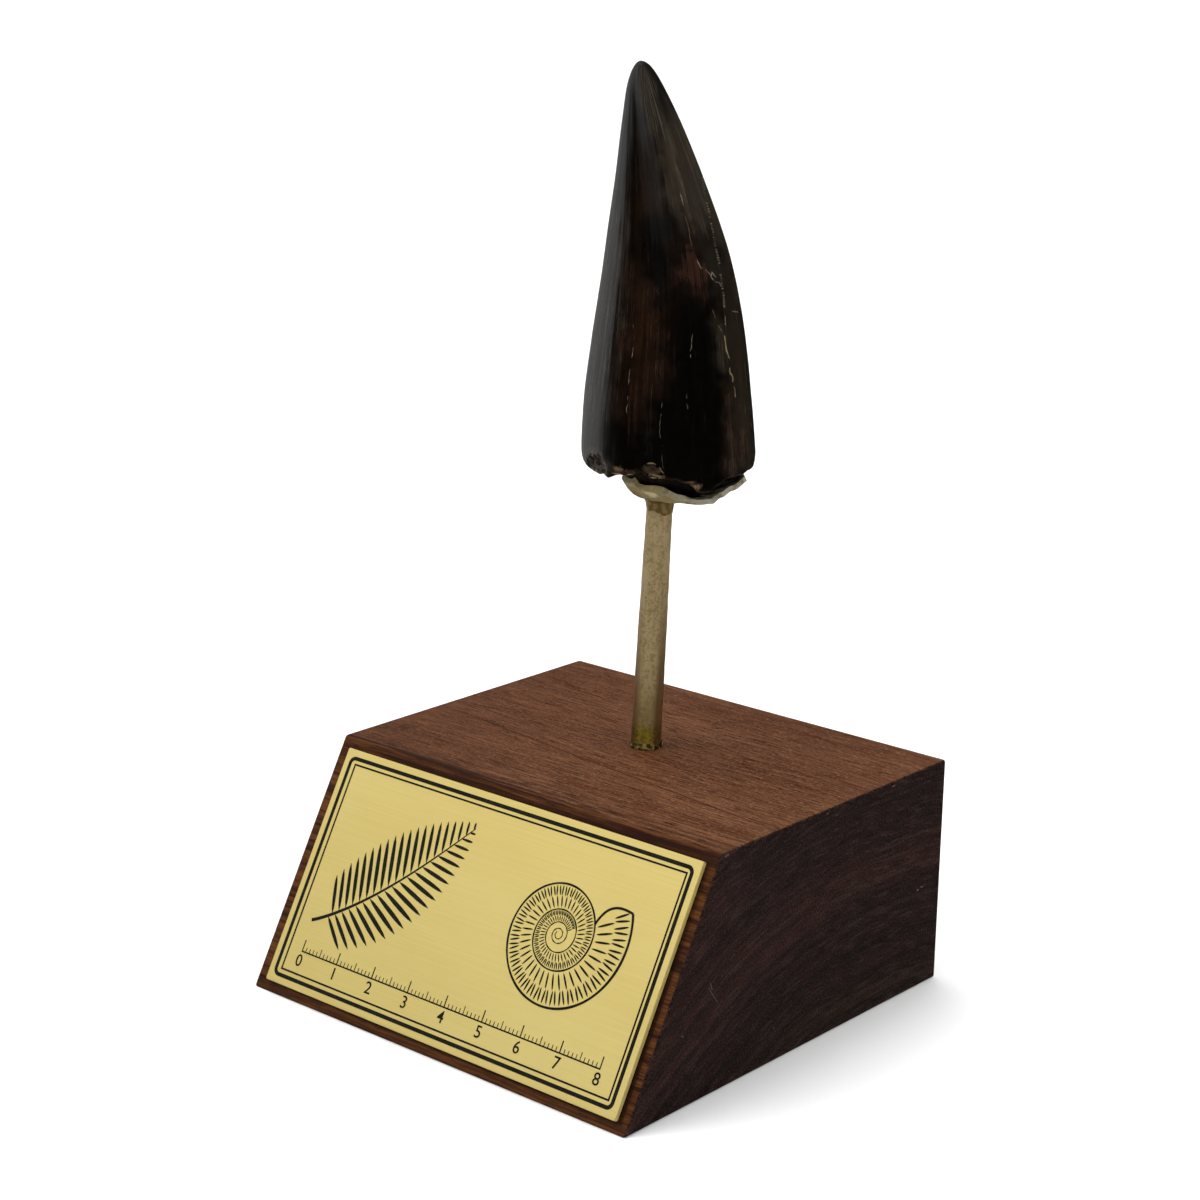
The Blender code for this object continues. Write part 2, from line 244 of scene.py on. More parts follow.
# ---- finishes


@dataclass(frozen=True)
class Finish:
    """A procedural material: constants on the shader, and what its paint method varies."""

    name: str
    colour: Colour
    roughness: float = 0.5
    metallic: float = 0.0
    specular: float = 0.5

    def build(self) -> Material:
        """Makes the material."""
        material = bpy.data.materials.new(self.name)
        material.use_nodes = True
        tree = Tree(material.node_tree)
        shader = material.node_tree.nodes["Principled BSDF"]
        constants = {
            "Base Color": self.colour, "Roughness": self.roughness, "Metallic": self.metallic,
            "Specular IOR Level": self.specular,
        }
        for name, value in (*constants.items(), *self.paint(tree).items()):
            tree.feed(shader.inputs[name], value)
        material.diffuse_color = (*self.colour, 1.0)
        return material

    def paint(self, tree: Tree) -> Sockets:
        """Sockets of the shader that vary over the surface."""
        return {}


class WoodGrain:
    """Coordinates and noises that all faces of the block share."""

    def __init__(self, tree: Tree, heart: Pair) -> None:
        """Reads them once.

        Args:
            tree: the material's tree.
            heart: (y, z) of the line that the growth rings are centred on, in mm.
        """
        place = tree.place()
        self.x, self.y, self.z = tree.split(place)
        self.wander = tree.noise(place, (9.0, 40.0, 40.0)) - 0.5
        away_y, away_z = self.y - heart[0] * MM, self.z - heart[1] * MM
        self.radius = (away_y * away_y + away_z * away_z) ** 0.5 + self.wander * 0.0035
        ring_place = tree.join(self.radius * 620.0, self.y * 10.0, self.x * 5.0)
        self.rings = tree.noise(ring_place, detail=3.0, rough=0.62)
        groove_place = tree.join(self.radius * 1700.0, self.y * 190.0, self.x * 60.0)
        self.grooves = tree.noise(groove_place, rough=0.6)
        self.fibres, self.streaks, self.bands, self.cloud, self.specks, dashes, flecks, pores = (
            tree.noise(place, (along, across, across), detail, rough)
            for along, across, detail, rough in (
                (95.0, 2100.0, 3.0, 0.7), (24.0, 640.0, 3.0, 0.6), (16.0, 980.0, 2.0, 0.6),
                (14.0, 60.0, 3.0, 0.6), (1300.0, 3000.0, 1.0, 0.6), (170.0, 2500.0, 1.0, 0.5),
                (900.0, 2600.0, 1.0, 0.5), (420.0, 3200.0, 1.0, 0.5),
            )
        )
        self.dashes, self.flecks = dashes.ramp(0.55, 0.63), flecks.ramp(0.60, 0.70)
        self.pores = pores.ramp(0.62, 0.72)
        self.speckle = tree.noise(place, 2600.0, 2.0, 0.75)


@dataclass(frozen=True)
class HardwoodFinish(Finish):
    """Oiled red-brown hardwood, its growth rings centred on a line along X below the block."""

    heart: Pair = (27.0, -94.0)
    pale: Colour = (0.167, 0.0690, 0.0300)
    middle: Colour = (0.053, 0.0152, 0.0038)
    dark: Colour = (0.028, 0.0080, 0.0030)
    fleck: Colour = (0.238, 0.118, 0.063)
    slope: Colour = (0.104, 0.0360, 0.0092)
    slope_dark: Colour = (0.034, 0.0105, 0.0035)
    # Dark tone of the slope's grain and edges, also used for the plate's painted shadow.
    edge: Colour = (0.018, 0.0055, 0.0030)
    # The end colours are darker than the long grain partly because end grain is darker and partly as
    # painted shade of the ends, which face away from the main lights.
    end: Colour = (0.0180, 0.0072, 0.0068)
    end_red: Colour = (0.0320, 0.0100, 0.0074)
    end_brown: Colour = (0.0215, 0.0118, 0.0070)
    end_dark: Colour = (0.0050, 0.0033, 0.0031)
    end_ring: Colour = (0.046, 0.029, 0.024)
    end_groove: Colour = (0.056, 0.035, 0.028)
    end_speckle: Colour = (0.062, 0.040, 0.033)
    knock: Colour = (0.24, 0.19, 0.16)
    first_ring: float = 94.0
    # Where the plate's painted shadow falls on the slope: the plate's right edge and its foot, in mm.
    plate_right: float = 47.6
    plate_foot: float = 2.15
    arcs: Rows = (
        (3.2, 0.45, 0.45), (6.6, 0.35, 0.55), (9.9, 0.60, 0.85), (12.6, 0.30, 0.35),
        (15.6, 0.75, 1.00), (19.0, 0.30, 0.35), (22.9, 0.50, 0.75), (26.0, 0.30, 0.40),
        (29.2, 0.25, 0.30), (32.8, 0.30, 0.40), (35.8, 0.50, 0.60), (40.2, 0.40, 0.45),
        (44.2, 0.50, 0.40),
    )
    scratches: Rows = (
        (-26.4, 22.2, -23.6, 18.4, 0.10, 0.5), (-25.9, 23.0, -25.4, 21.6, 0.14, 0.6),
        (41.7, 21.9, 42.1, 21.7, 0.20, 1.0), (43.0, 22.1, 43.6, 22.0, 0.16, 0.8),
        (-34.0, 15.0, -33.6, 14.8, 0.20, 0.5), (-5.8, 7.2, -5.5, 7.0, 0.18, 0.5),
        (-22.6, 47.2, -21.6, 47.4, 0.22, 0.45), (31.0, 47.0, 31.8, 47.1, 0.18, 0.6),
        (9.0, 47.2, 9.4, 47.2, 0.15, 0.6),
    )

    def long_grain(self, tree: Tree, grain: WoodGrain, on_top: Num) -> Any:
        """Colour along the fibres, with two dark lines on the top."""
        tone = grain.rings * 0.12 + grain.fibres * 0.42 + grain.streaks * 0.14 + grain.cloud * 0.12
        tone = (tone + grain.specks * 0.20).ramp(0.39, 0.60)
        line = abs(grain.y + 0.0012 + grain.x * 0.112 + grain.wander * 0.004).ramp(0.00035, 0.00008)
        second = abs(grain.y - 0.0225 + grain.wander * 0.003).ramp(0.0003, 0.00008)
        lines = (line + second * grain.x.ramp(0.002, 0.008) * 0.7).least(1.0) * on_top
        return tree.layered(
            self.middle,
            (tone, self.pale),
            (grain.streaks.ramp(0.53, 0.68) * 0.40, self.dark),
            (grain.dashes * (0.46 + grain.cloud.ramp(0.35, 0.65) * 0.36), self.dark),
            (grain.pores * 0.46, self.dark),
            (grain.flecks * 0.45, self.fleck),
            (grain.x.ramp(0.012, -0.050) * 0.30, self.dark),
            (lines * (grain.fibres.ramp(0.36, 0.56) * 0.5 + 0.3), self.dark),
        )

    def sloping(self, tree: Tree, grain: WoodGrain) -> Any:
        """Redder colour of the slope, darker at its upper edge, with painted shadow beside and under the
        plate.
        """
        z, bands = grain.z, grain.bands
        right, foot = self.plate_right * MM, self.plate_foot * MM
        # Painted shadow of the plate: a dark strip beside its right edge, widest at the bottom, and a thin
        # dark line under its foot.
        beside = abs(grain.x - right).ramp(1.05 * MM, 0.55 * MM) * z.ramp(foot, foot + 0.6 * MM)
        under = abs(z - foot).ramp(0.7 * MM, 0.2 * MM) * grain.x.ramp(0.049, 0.048)
        shade = beside * z.ramp(0.046, 0.020).most(0.35)
        high = z.ramp(0.0425, 0.0465)
        return tree.layered(
            self.slope_dark,
            ((grain.fibres * 0.5 + bands * 0.5).ramp(0.40, 0.60), self.slope),
            (bands.ramp(0.44, 0.36) * 0.75, self.edge),
            ((grain.pores + grain.dashes).least(1.0) * 0.5, self.edge),
            (high * (0.10 + grain.streaks.ramp(0.42, 0.58) * 0.6), self.edge),
            # The plate's painted shadow, in the dark edge colour.
            (shade.most(under) * 0.8, self.edge),
        )

    def scratched(self, grain: WoodGrain) -> Num:
        """Amount of the small pale scratches on the right end."""
        found = grain.y * 0.0
        for y0, z0, y1, z1, width, strength in self.scratches:
            long = math.hypot(y1 - y0, z1 - z0)
            uy, uz = (y1 - y0) / long, (z1 - z0) / long
            from_y, from_z = grain.y - (y0 + y1) / 2.0 * MM, grain.z - (z0 + z1) / 2.0 * MM
            along = abs(from_y * uy + from_z * uz).ramp((long / 2.0 + width) * MM, long / 2.0 * MM)
            across = abs(from_z * uy - from_y * uz).ramp(width * MM, width * 0.3 * MM)
            found = found.most(along * across * strength)
        return found * grain.x.ramp(0.0, 0.01)

    def end_grain(self, tree: Tree, grain: WoodGrain) -> Any:
        """Dark colour of the ends, partly their own end grain and partly painted shade: brown and red
        zones, rings, grooves and speckles.
        """
        depth = grain.radius - self.first_ring * MM
        red = depth.ramp(0.0235, 0.0290) * depth.ramp(0.0375, 0.0345)
        red = red.most(grain.y.ramp(-0.010, -0.032) * grain.z.ramp(0.004, 0.014) * 0.8)
        arcs = depth * 0.0
        for at, width, strength in self.arcs:
            near = abs(depth - at * MM).ramp(width * 1.3 * MM, width * 0.35 * MM)
            arcs = arcs.most(near * strength)
        return tree.layered(
            self.end,
            (depth.ramp(0.0135, 0.0060) * 0.85, self.end_brown),
            (red * 0.85, self.end_red),
            (grain.cloud.ramp(0.52, 0.66) * 0.3, self.end_brown),
            (grain.rings.ramp(0.54, 0.40) * 0.55, self.end_dark),
            (arcs * (0.62 + grain.fibres.ramp(0.35, 0.6) * 0.3), self.end_dark),
            (grain.rings.ramp(0.55, 0.66) * 0.34, self.end_ring),
            (grain.grooves.ramp(0.54, 0.66) * 0.42, self.end_groove),
            (grain.grooves.ramp(0.47, 0.36) * 0.66, self.end_dark),
            (grain.speckle.ramp(0.50, 0.64) * 0.52, self.end_speckle),
            (grain.speckle.ramp(0.49, 0.36) * 0.80, self.end_dark),
            (self.scratched(grain) * 0.6, self.knock),
        )

    def paint(self, tree: Tree) -> Sockets:
        """The long grain, the slope with the plate's painted shadow, and the ends with their end grain and
        painted shade, each on its own faces.
        """
        grain = WoodGrain(tree, self.heart)
        fibres, pores, dashes, bands = grain.fibres, grain.pores, grain.dashes, grain.bands
        on_top = grain.z.ramp((BLOCK_TOP - 0.6) * MM, (BLOCK_TOP - 0.1) * MM)
        from_slope = grain.y + BLOCK_HALF * MM - grain.z * (SETBACK / BLOCK_TOP)
        ledge = (SETBACK - BLOCK_HALF) * MM
        edge_band = grain.y.ramp(ledge + 0.0050, ledge + 0.0005) * on_top * bands.ramp(0.60, 0.42)
        near_edge = grain.y.ramp(ledge + 0.0110, ledge + 0.0020) * on_top
        near_edge = near_edge * dashes.most(bands.ramp(0.46, 0.36))
        on_end = abs(grain.x).ramp((BLOCK_HALF - 0.45) * MM, (BLOCK_HALF - 0.15) * MM)
        colour = tree.layered(
            self.long_grain(tree, grain, on_top),
            (from_slope.ramp(0.0010, 0.0003), self.sloping(tree, grain)),
            ((edge_band * 0.9).most(near_edge * 0.65), self.edge),
            (on_end, self.end_grain(tree, grain)),
        )
        rough = 0.50 + fibres * 0.16 + pores * 0.1
        return tree.skin(colour, rough, fibres * 0.5 - pores * 0.7 - dashes * 0.35, 0.08, 0.5)


@dataclass(frozen=True)
class BrassFinish(Finish):
    """Brass sheet, brushed along X."""

    tarnish: Colour = (0.93, 0.90, 0.82)

    def paint(self, tree: Tree) -> Sockets:
        """Fine brush lines along X and faint tarnish."""
        place = tree.place()
        brush = tree.noise(place, (40.0, 5200.0, 5200.0), rough=0.6)
        cloud = tree.noise(place, (22.0, 60.0, 60.0))
        warm = tuple(part * scale for part, scale in zip(self.colour, self.tarnish))
        colour = tree.layered(warm, ((cloud * 0.5 + brush * 0.5).ramp(0.30, 0.70), self.colour))
        rough = self.roughness + (brush - 0.5) * 0.14 + (cloud - 0.5) * 0.06
        return tree.skin(colour, rough, brush, 0.012, 0.25)


@dataclass(frozen=True)
class InkFinish(Finish):
    """Black enamel let into engraved lines."""

    pale: Colour = (0.016, 0.015, 0.010)

    def paint(self, tree: Tree) -> Sockets:
        """Slight unevenness of the enamel's tone."""
        speck = tree.noise(tree.place(), 2200.0)
        colour = tree.layered(self.colour, (speck.ramp(0.35, 0.75), self.pale))
        return {"Base Color": colour, "Roughness": self.roughness + (speck - 0.5) * 0.2}


@dataclass(frozen=True)
class BronzeFinish(Finish):
    """Dull bronze rod, darkened at its foot."""

    axis_foot: Pair = (-0.3, 14.3)
    lean: Pair = (0.0269, 0.0223)
    # Across the camera's view: the rod's flanks along this get painted shade.
    broadside: Pair = (0.758, 0.652)
    fleck: Colour = (0.240, 0.172, 0.068)
    dull: Colour = (0.170, 0.105, 0.026)
    # Tarnish colour, used for the painted shade on the flanks.
    tarnish: Colour = (0.085, 0.040, 0.008)
    stain: Colour = (0.235, 0.175, 0.003)
    # Darker foot stain, laid in random patches and as painted shade on the foot's flanks.
    stain_dark: Colour = (0.060, 0.030, 0.002)

    def zone(self, z: Num, low: float, high: float) -> Num:
        """Smooth step between two heights above the block's top, in mm."""
        return z.ramp((BLOCK_TOP + low) * MM, (BLOCK_TOP + high) * MM)

    def paint(self, tree: Tree) -> Sockets:
        """Mottled skin, fine draw lines, painted shade on the flanks as the camera sees them, and an olive
        foot.
        """
        place = tree.place()
        x, y, z = tree.split(place)
        up = z - BLOCK_TOP * MM
        away_x = x - self.axis_foot[0] * MM - up * self.lean[0]
        away_y = y - self.axis_foot[1] * MM - up * self.lean[1]
        beside = away_x * self.broadside[0] + away_y * self.broadside[1]
        mottle = tree.noise(place, 620.0, 4.0, 0.62)
        drawn = tree.noise(place, (1900.0, 1900.0, 60.0))
        grains = tree.noise(place, 1500.0, 3.0, 0.7)
        # Painted shade: the rod's left and right flanks as the camera sees them are darkened, more towards
        # the foot, standing in for the rod's own shading.
        side = abs(beside + 0.35 * MM).ramp(0.9 * MM, 2.6 * MM)
        flank_shade = side * (0.16 + self.zone(z, 40.0, 8.0) * 0.85) * (0.4 + grains * 1.1)
        # Random dark patches at the foot, plus painted shade on its flanks.
        patches_and_flank_shade = (side * 0.9 + grains.ramp(0.56, 0.42) * 0.6).least(1.0)
        foot = (self.zone(z, 6.4, 3.6) * (0.55 + mottle * 0.8)).least(1.0)
        colour = tree.layered(
            self.fleck,
            ((mottle * 0.35 + drawn * 0.15 + grains * 0.5).ramp(0.41, 0.56), self.colour),
            (self.zone(z, 17.0, 7.0) * (0.35 + mottle * 0.5), self.dull),
            (flank_shade.least(0.85), self.tarnish),
            (foot * 0.92, tree.layered(self.stain, (patches_and_flank_shade, self.stain_dark))),
            (self.zone(z, 48.5, 50.5) * 0.6, self.fleck),
        )
        rough = self.roughness + (mottle - 0.5) * 0.3
        return tree.skin(colour, rough, mottle * 0.5 + drawn * 0.2 + grains * 0.5, 0.07, 0.7)


@dataclass(frozen=True)
class CastFinish(Finish):
    """Pale rough casting with olive stains."""

    paler: Colour = (0.325, 0.302, 0.232)
    stain: Colour = (0.135, 0.100, 0.040)
    grainy: Colour = (0.42, 0.360, 0.215)
    # A painted highlight: a bright cream spot on the cup round one place, given in mm.
    rubbed: Colour = (0.620, 0.540, 0.340)
    rubbed_at: Place = (4.8, 7.8, 103.0)

    def paint(self, tree: Tree) -> Sockets:
        """Stains in the hollows over a grainy skin, with a painted highlight at one place."""
        place = tree.place()
        blotch = tree.noise(place, 330.0, 3.0, 0.6)
        grain = tree.noise(place, 1500.0, 3.0, 0.6)
        x, y, z = (part - at * MM for part, at in zip(tree.split(place), self.rubbed_at))
        away = (x * x + y * y + z * z) ** 0.5 + (blotch - 0.5) * 0.003
        colour = tree.layered(
            self.colour,
            (tree.split(place)[0].ramp(0.007, 0.019), self.paler),
            (blotch.ramp(0.50, 0.62) * 0.9, self.stain),
            (grain.ramp(0.52, 0.68) * 0.6, self.grainy),
            # Painted highlight, fading out round that place.
            (away.ramp(0.0021, 0.0011) * 0.8, self.rubbed),
        )
        rough = self.roughness + (blotch - 0.5) * 0.25
        return tree.skin(colour, rough, grain * 0.6 + blotch * 0.4, 0.12, 0.8)


@dataclass(frozen=True)
class PuttyFinish(Finish):
    """Black putty, a little shiny where it was pressed."""

    pale: Colour = (0.005, 0.0045, 0.004)

    def paint(self, tree: Tree) -> Sockets:
        """Pressed and dull patches."""
        skin = tree.noise(tree.place(), 480.0, 3.0)
        colour = tree.layered(self.colour, (skin.ramp(0.4, 0.7), self.pale))
        return tree.skin(colour, self.roughness + (skin - 0.5) * 0.4, skin, 0.15, 0.6)


@dataclass(frozen=True)
class GlueFinish(Finish):
    """Amber glue run, cloudy in places."""

    cloud: Colour = (0.165, 0.115, 0.028)

    def paint(self, tree: Tree) -> Sockets:
        """Cloudy and clear patches."""
        haze = tree.noise(tree.place(), 900.0, 3.0)
        colour = tree.layered(self.colour, (haze.ramp(0.46, 0.60), self.cloud))
        return tree.skin(colour, self.roughness, haze, 0.08, 0.6)


class Trait(Enum):
    """Amounts that the crown's mesh carries, each the name of an attribute."""

    UMBER = "umber"
    OLIVE = "olive"
    RUST = "rust"
    CORE = "core"
    WEAR = "wear"


@dataclass(frozen=True)
class EnamelFinish(Finish):
    """Fossil enamel: near black, streaked up the crown in brown, worn and flaked in places, with a painted
    highlight band on one flank.

    The mesh carries "grain", a cylinder's coordinates in metres, and the amount of each trait.
    """

    sheen: Colour = (0.0036, 0.0027, 0.0016)
    umber: Colour = (0.0102, 0.0040, 0.0009)
    rust: Colour = (0.032, 0.0100, 0.0042)
    olive: Colour = (0.044, 0.0335, 0.0210)
    core: Colour = (0.190, 0.110, 0.043)
    core_dark: Colour = (0.022, 0.011, 0.006)
    # Pale colour of worn places, also of the painted highlight band.
    worn: Colour = (0.120, 0.100, 0.075)

    def paint(self, tree: Tree) -> Sockets:
        """Streaks, patches, bare core, worn places and the painted highlight band, with their gloss and
        relief.
        """
        grain = tree.trait("grain").outputs["Vector"]
        broad = tree.noise(grain, (330.0, 330.0, 26.0), 3.0, 0.6)
        fine = tree.noise(grain, (1500.0, 1500.0, 55.0), 3.0, 0.65)
        hair = tree.noise(grain, (3600.0, 3600.0, 110.0))
        mottle = tree.noise(grain, (420.0, 420.0, 120.0), 4.0, 0.6)
        umber, olive, rust, core, wear = (
            Num(tree, tree.trait(trait.value).outputs["Fac"]) for trait in Trait
        )
        streak = (broad * 0.5 + fine * 0.35 + mottle * 0.15).ramp(0.42, 0.62)
        pale_hair = hair.ramp(0.60, 0.76) * fine.ramp(0.42, 0.60)
        rubble = tree.noise(tree.place(), 900.0, 4.0, 0.65)
        colour = tree.layered(
            self.colour,
            ((fine * 0.6 + hair * 0.4).ramp(0.50, 0.66) * 0.55, self.sheen),
            (umber * (0.25 + streak * 0.75), self.umber),
            (rust * (mottle * 0.5 + fine * 0.5).ramp(0.36, 0.56), self.rust),
            (olive * (0.45 + streak * 0.55), self.olive),
            (pale_hair * (0.05 + olive * 0.22 + umber * 0.08), self.worn),
            # Worn places and the painted highlight band, streaked pale.
            (wear * (fine * 0.5 + hair * 0.5).ramp(0.44, 0.62), self.worn),
            (core, tree.layered(self.core_dark, (rubble.ramp(0.40, 0.60), self.core))),
        )
        rough = self.roughness + (mottle - 0.5) * 0.12 + (fine - 0.5) * 0.30
        rough = rough + core * 0.5 + wear * 0.12 + rust * 0.10
        relief = fine * 0.6 + hair * 0.35 + broad * 0.3 + rubble * core * 3.0
        return tree.skin(colour, rough, relief, 0.05, 0.55)


@dataclass(frozen=True)
class FillFinish(Finish):
    """Mineral that fills a crack."""

    shade: Colour = (0.12, 0.075, 0.03)

    def paint(self, tree: Tree) -> Sockets:
        """Grains of two tones."""
        grains = tree.noise(tree.place(), 1600.0, 3.0, 0.65)
        colour = tree.layered(self.shade, (grains.ramp(0.42, 0.58), self.colour))
        return tree.skin(colour, self.roughness, grains, 0.06, 0.7)


# ---- shape helpers


def smooth_curve(points: Points, x: Array) -> Array:
    """Smooth values of a curve through points, level at each of them.

    Args:
        points: (x, value) pairs in order.
        x: where the curve is read.

    Returns:
        The values.
    """
    knots = np.array([point[0] for point in points], float)
    values = np.array([point[1] for point in points], float)
    x = np.clip(np.asarray(x, float), knots[0], knots[-1])
    k = np.clip(np.searchsorted(knots, x, side="right") - 1, 0, len(knots) - 2)
    step = (x - knots[k]) / (knots[k + 1] - knots[k])
    return values[k] + (values[k + 1] - values[k]) * step * step * (3.0 - 2.0 * step)


def smooth_step(low: float, high: float, x: Array) -> Array:
    """Smooth step from 0 at low to 1 at high."""
    t = np.clip((x - low) / (high - low), 0.0, 1.0)
    return t * t * (3.0 - 2.0 * t)


def wrap_degrees(turn: Array) -> Array:
    """Angles brought between -180 and 180 degrees."""
    return (np.asarray(turn, float) + 180.0) % 360.0 - 180.0


@dataclass(frozen=True)
class Unevenness:
    """Seeded value noise over (turns, height), the same at both ends of a turn."""

    seed: int
    cells: int = 64

    def read(self, turns: Array, rise: Array, across: int, up: float, layers: int = 3) -> Array:
        """Values between about -1 and 1.

        Args:
            turns: place round the form, where 1 is a whole turn.
            rise: place along the form.
            across: cells in a whole turn, in the first layer.
            up: cells for each unit of rise, in the first layer.
            layers: number of layers, each twice as fine and half as strong.

        Returns:
            The noise.
        """
        total = np.zeros(np.broadcast(turns, rise).shape)
        for layer in range(layers):
            count = across * 2**layer
            table = np.random.default_rng(self.seed + layer).uniform(-1, 1, (count, self.cells))
            a, b = (turns % 1.0) * count, rise * up * 2**layer + 7.3
            i, j = np.floor(a).astype(int), np.floor(b).astype(int)
            s, t = a - i, b - j
            s, t = s * s * (3 - 2 * s), t * t * (3 - 2 * t)
            i0, i1, j0, j1 = i % count, (i + 1) % count, j % self.cells, (j + 1) % self.cells
            low = table[i0, j0] * (1 - s) + table[i1, j0] * s
            high = table[i0, j1] * (1 - s) + table[i1, j1] * s
            total = total + (low * (1 - t) + high * t) / 2**layer
        return total


def around(columns: int) -> tuple[Array, Array]:
    """Angles round a form in degrees, and the same as turns from 0 to 1."""
    angle = np.linspace(-180.0, 180.0, columns, endpoint=False)
    return angle, angle / 360.0 + 0.5


def oval(turn: Array, centre: Sequence, half: Sequence, z: Optional[Array] = None) -> Array:
    """Points of an oval at angles in radians, in a plane or at heights z."""
    x, y = centre[0] + half[0] * np.cos(turn), centre[1] + half[1] * np.sin(turn)
    return np.stack([x, y] if z is None else [x, y, np.broadcast_to(z, x.shape)], axis=-1)


def placed(name: str, data: Any) -> Piece:
    """New object of a mesh, text, light or camera, linked to the scene."""
    thing = bpy.data.objects.new(name, data)
    bpy.context.scene.collection.objects.link(thing)
    return thing


def add_piece(name: str, mesh: Mesh, material: Material) -> Piece:
    """Object of a mesh with one material."""
    mesh.materials.clear()
    mesh.materials.append(material)
    return placed(name, mesh)


def make_mesh(name: str, points: Array, edges: Sequence = (), faces: Sequence = ()) -> Mesh:
    """Mesh of points in mm."""
    mesh = bpy.data.meshes.new(name)
    mesh.from_pydata((points * MM).tolist(), edges, faces)
    return mesh


def lofted(name: str, rings: Array, wrap: bool = False) -> Mesh:
    """Closed mesh through rings of points.

    Args:
        name: the mesh's name.
        rings: (rows, columns, 3) points in mm.
        wrap: whether the last row joins the first; otherwise each end closes on its middle.

    Returns:
        The mesh, its first rows * columns vertices in the order of the rings.
    """
    rows, columns = rings.shape[:2]
    points = rings.reshape(-1, 3)
    grid = np.arange(rows * columns).reshape(rows, columns)
    lower = grid if wrap else grid[:-1]
    upper = np.roll(grid, -1, axis=0) if wrap else grid[1:]
    quads = np.stack(
        [lower, np.roll(lower, -1, axis=1), np.roll(upper, -1, axis=1), upper], axis=-1
    ).reshape(-1, 4)
    faces = quads.tolist()
    if not wrap:
        points = np.vstack([points, rings[0].mean(axis=0), rings[-1].mean(axis=0)])
        foot, head = rows * columns, rows * columns + 1
        for i in range(columns):
            j = (i + 1) % columns
            faces.append([foot, int(grid[0, j]), int(grid[0, i])])
            faces.append([head, int(grid[-1, i]), int(grid[-1, j])])
    return outward(make_mesh(name, points, faces=faces))


def outward(mesh: Mesh, smooth: bool = True) -> Mesh:
    """Turns a closed mesh's faces outwards and shades it."""
    bm = bmesh.new()
    bm.from_mesh(mesh)
    bmesh.ops.recalc_face_normals(bm, faces=bm.faces)
    bm.to_mesh(mesh)
    bm.free()
    mesh.polygons.foreach_set("use_smooth", [smooth] * len(mesh.polygons))
    mesh.update()
    return mesh


def joined(name: str, parts: Sequence[tuple[Array, list]]) -> Mesh:
    """One mesh of several (points in mm, faces) parts."""
    points, faces, count = [], [], 0
    for part_points, part_faces in parts:
        points.append(np.asarray(part_points, float))
        faces.extend([[index + count for index in face] for face in part_faces])
        count += len(part_points)
    return outward(make_mesh(name, np.vstack(points), faces=faces), smooth=False)


def stroke(path: Array, widths: Array, low: float, high: float, closed: bool = False) -> tuple:
    """Flat raised line along a path in a plane.

    Args:
        path: (count, 2) points in mm.
        widths: width at each point.
        low: height of its underside.
        high: height of its top.
        closed: whether it ends where it starts.

    Returns:
        Its points in mm and its faces.
    """
    path = np.asarray(path, float)
    widths = np.broadcast_to(np.asarray(widths, float), len(path))
    if closed:
        before, after = np.roll(path, 1, axis=0), np.roll(path, -1, axis=0)
    else:
        before = np.vstack([path[:1], path[:-1]])
        after = np.vstack([path[1:], path[-1:]])
    into, out = path - before, after - path
    into = np.where(np.hypot(*into.T)[:, None] > 0, into, out)
    out = np.where(np.hypot(*out.T)[:, None] > 0, out, into)
    into = into / np.hypot(*into.T)[:, None]
    out = out / np.hypot(*out.T)[:, None]
    bisector = into + out
    bisector /= np.maximum(np.hypot(*bisector.T)[:, None], 1e-6)
    mitre = np.maximum(0.5, (bisector * out).sum(axis=1))
    side = np.stack([-bisector[:, 1], bisector[:, 0]], axis=1) * (widths / 2.0 / mitre)[:, None]
    count = len(path)
    corners = [(path + side, high), (path - side, high), (path - side, low), (path + side, low)]
    points = np.vstack([np.column_stack([flat, np.full(count, z)]) for flat, z in corners])
    faces = []
    for i in range(count if closed else count - 1):
        j = (i + 1) % count
        for k in range(4):
            a, b = k * count, ((k + 1) % 4) * count
            faces.append([a + i, b + i, b + j, a + j])
    if not closed:
        faces.append([k * count for k in range(4)])
        faces.append([k * count + count - 1 for k in (3, 2, 1, 0)])
    return points, faces


# ---- geometry nodes


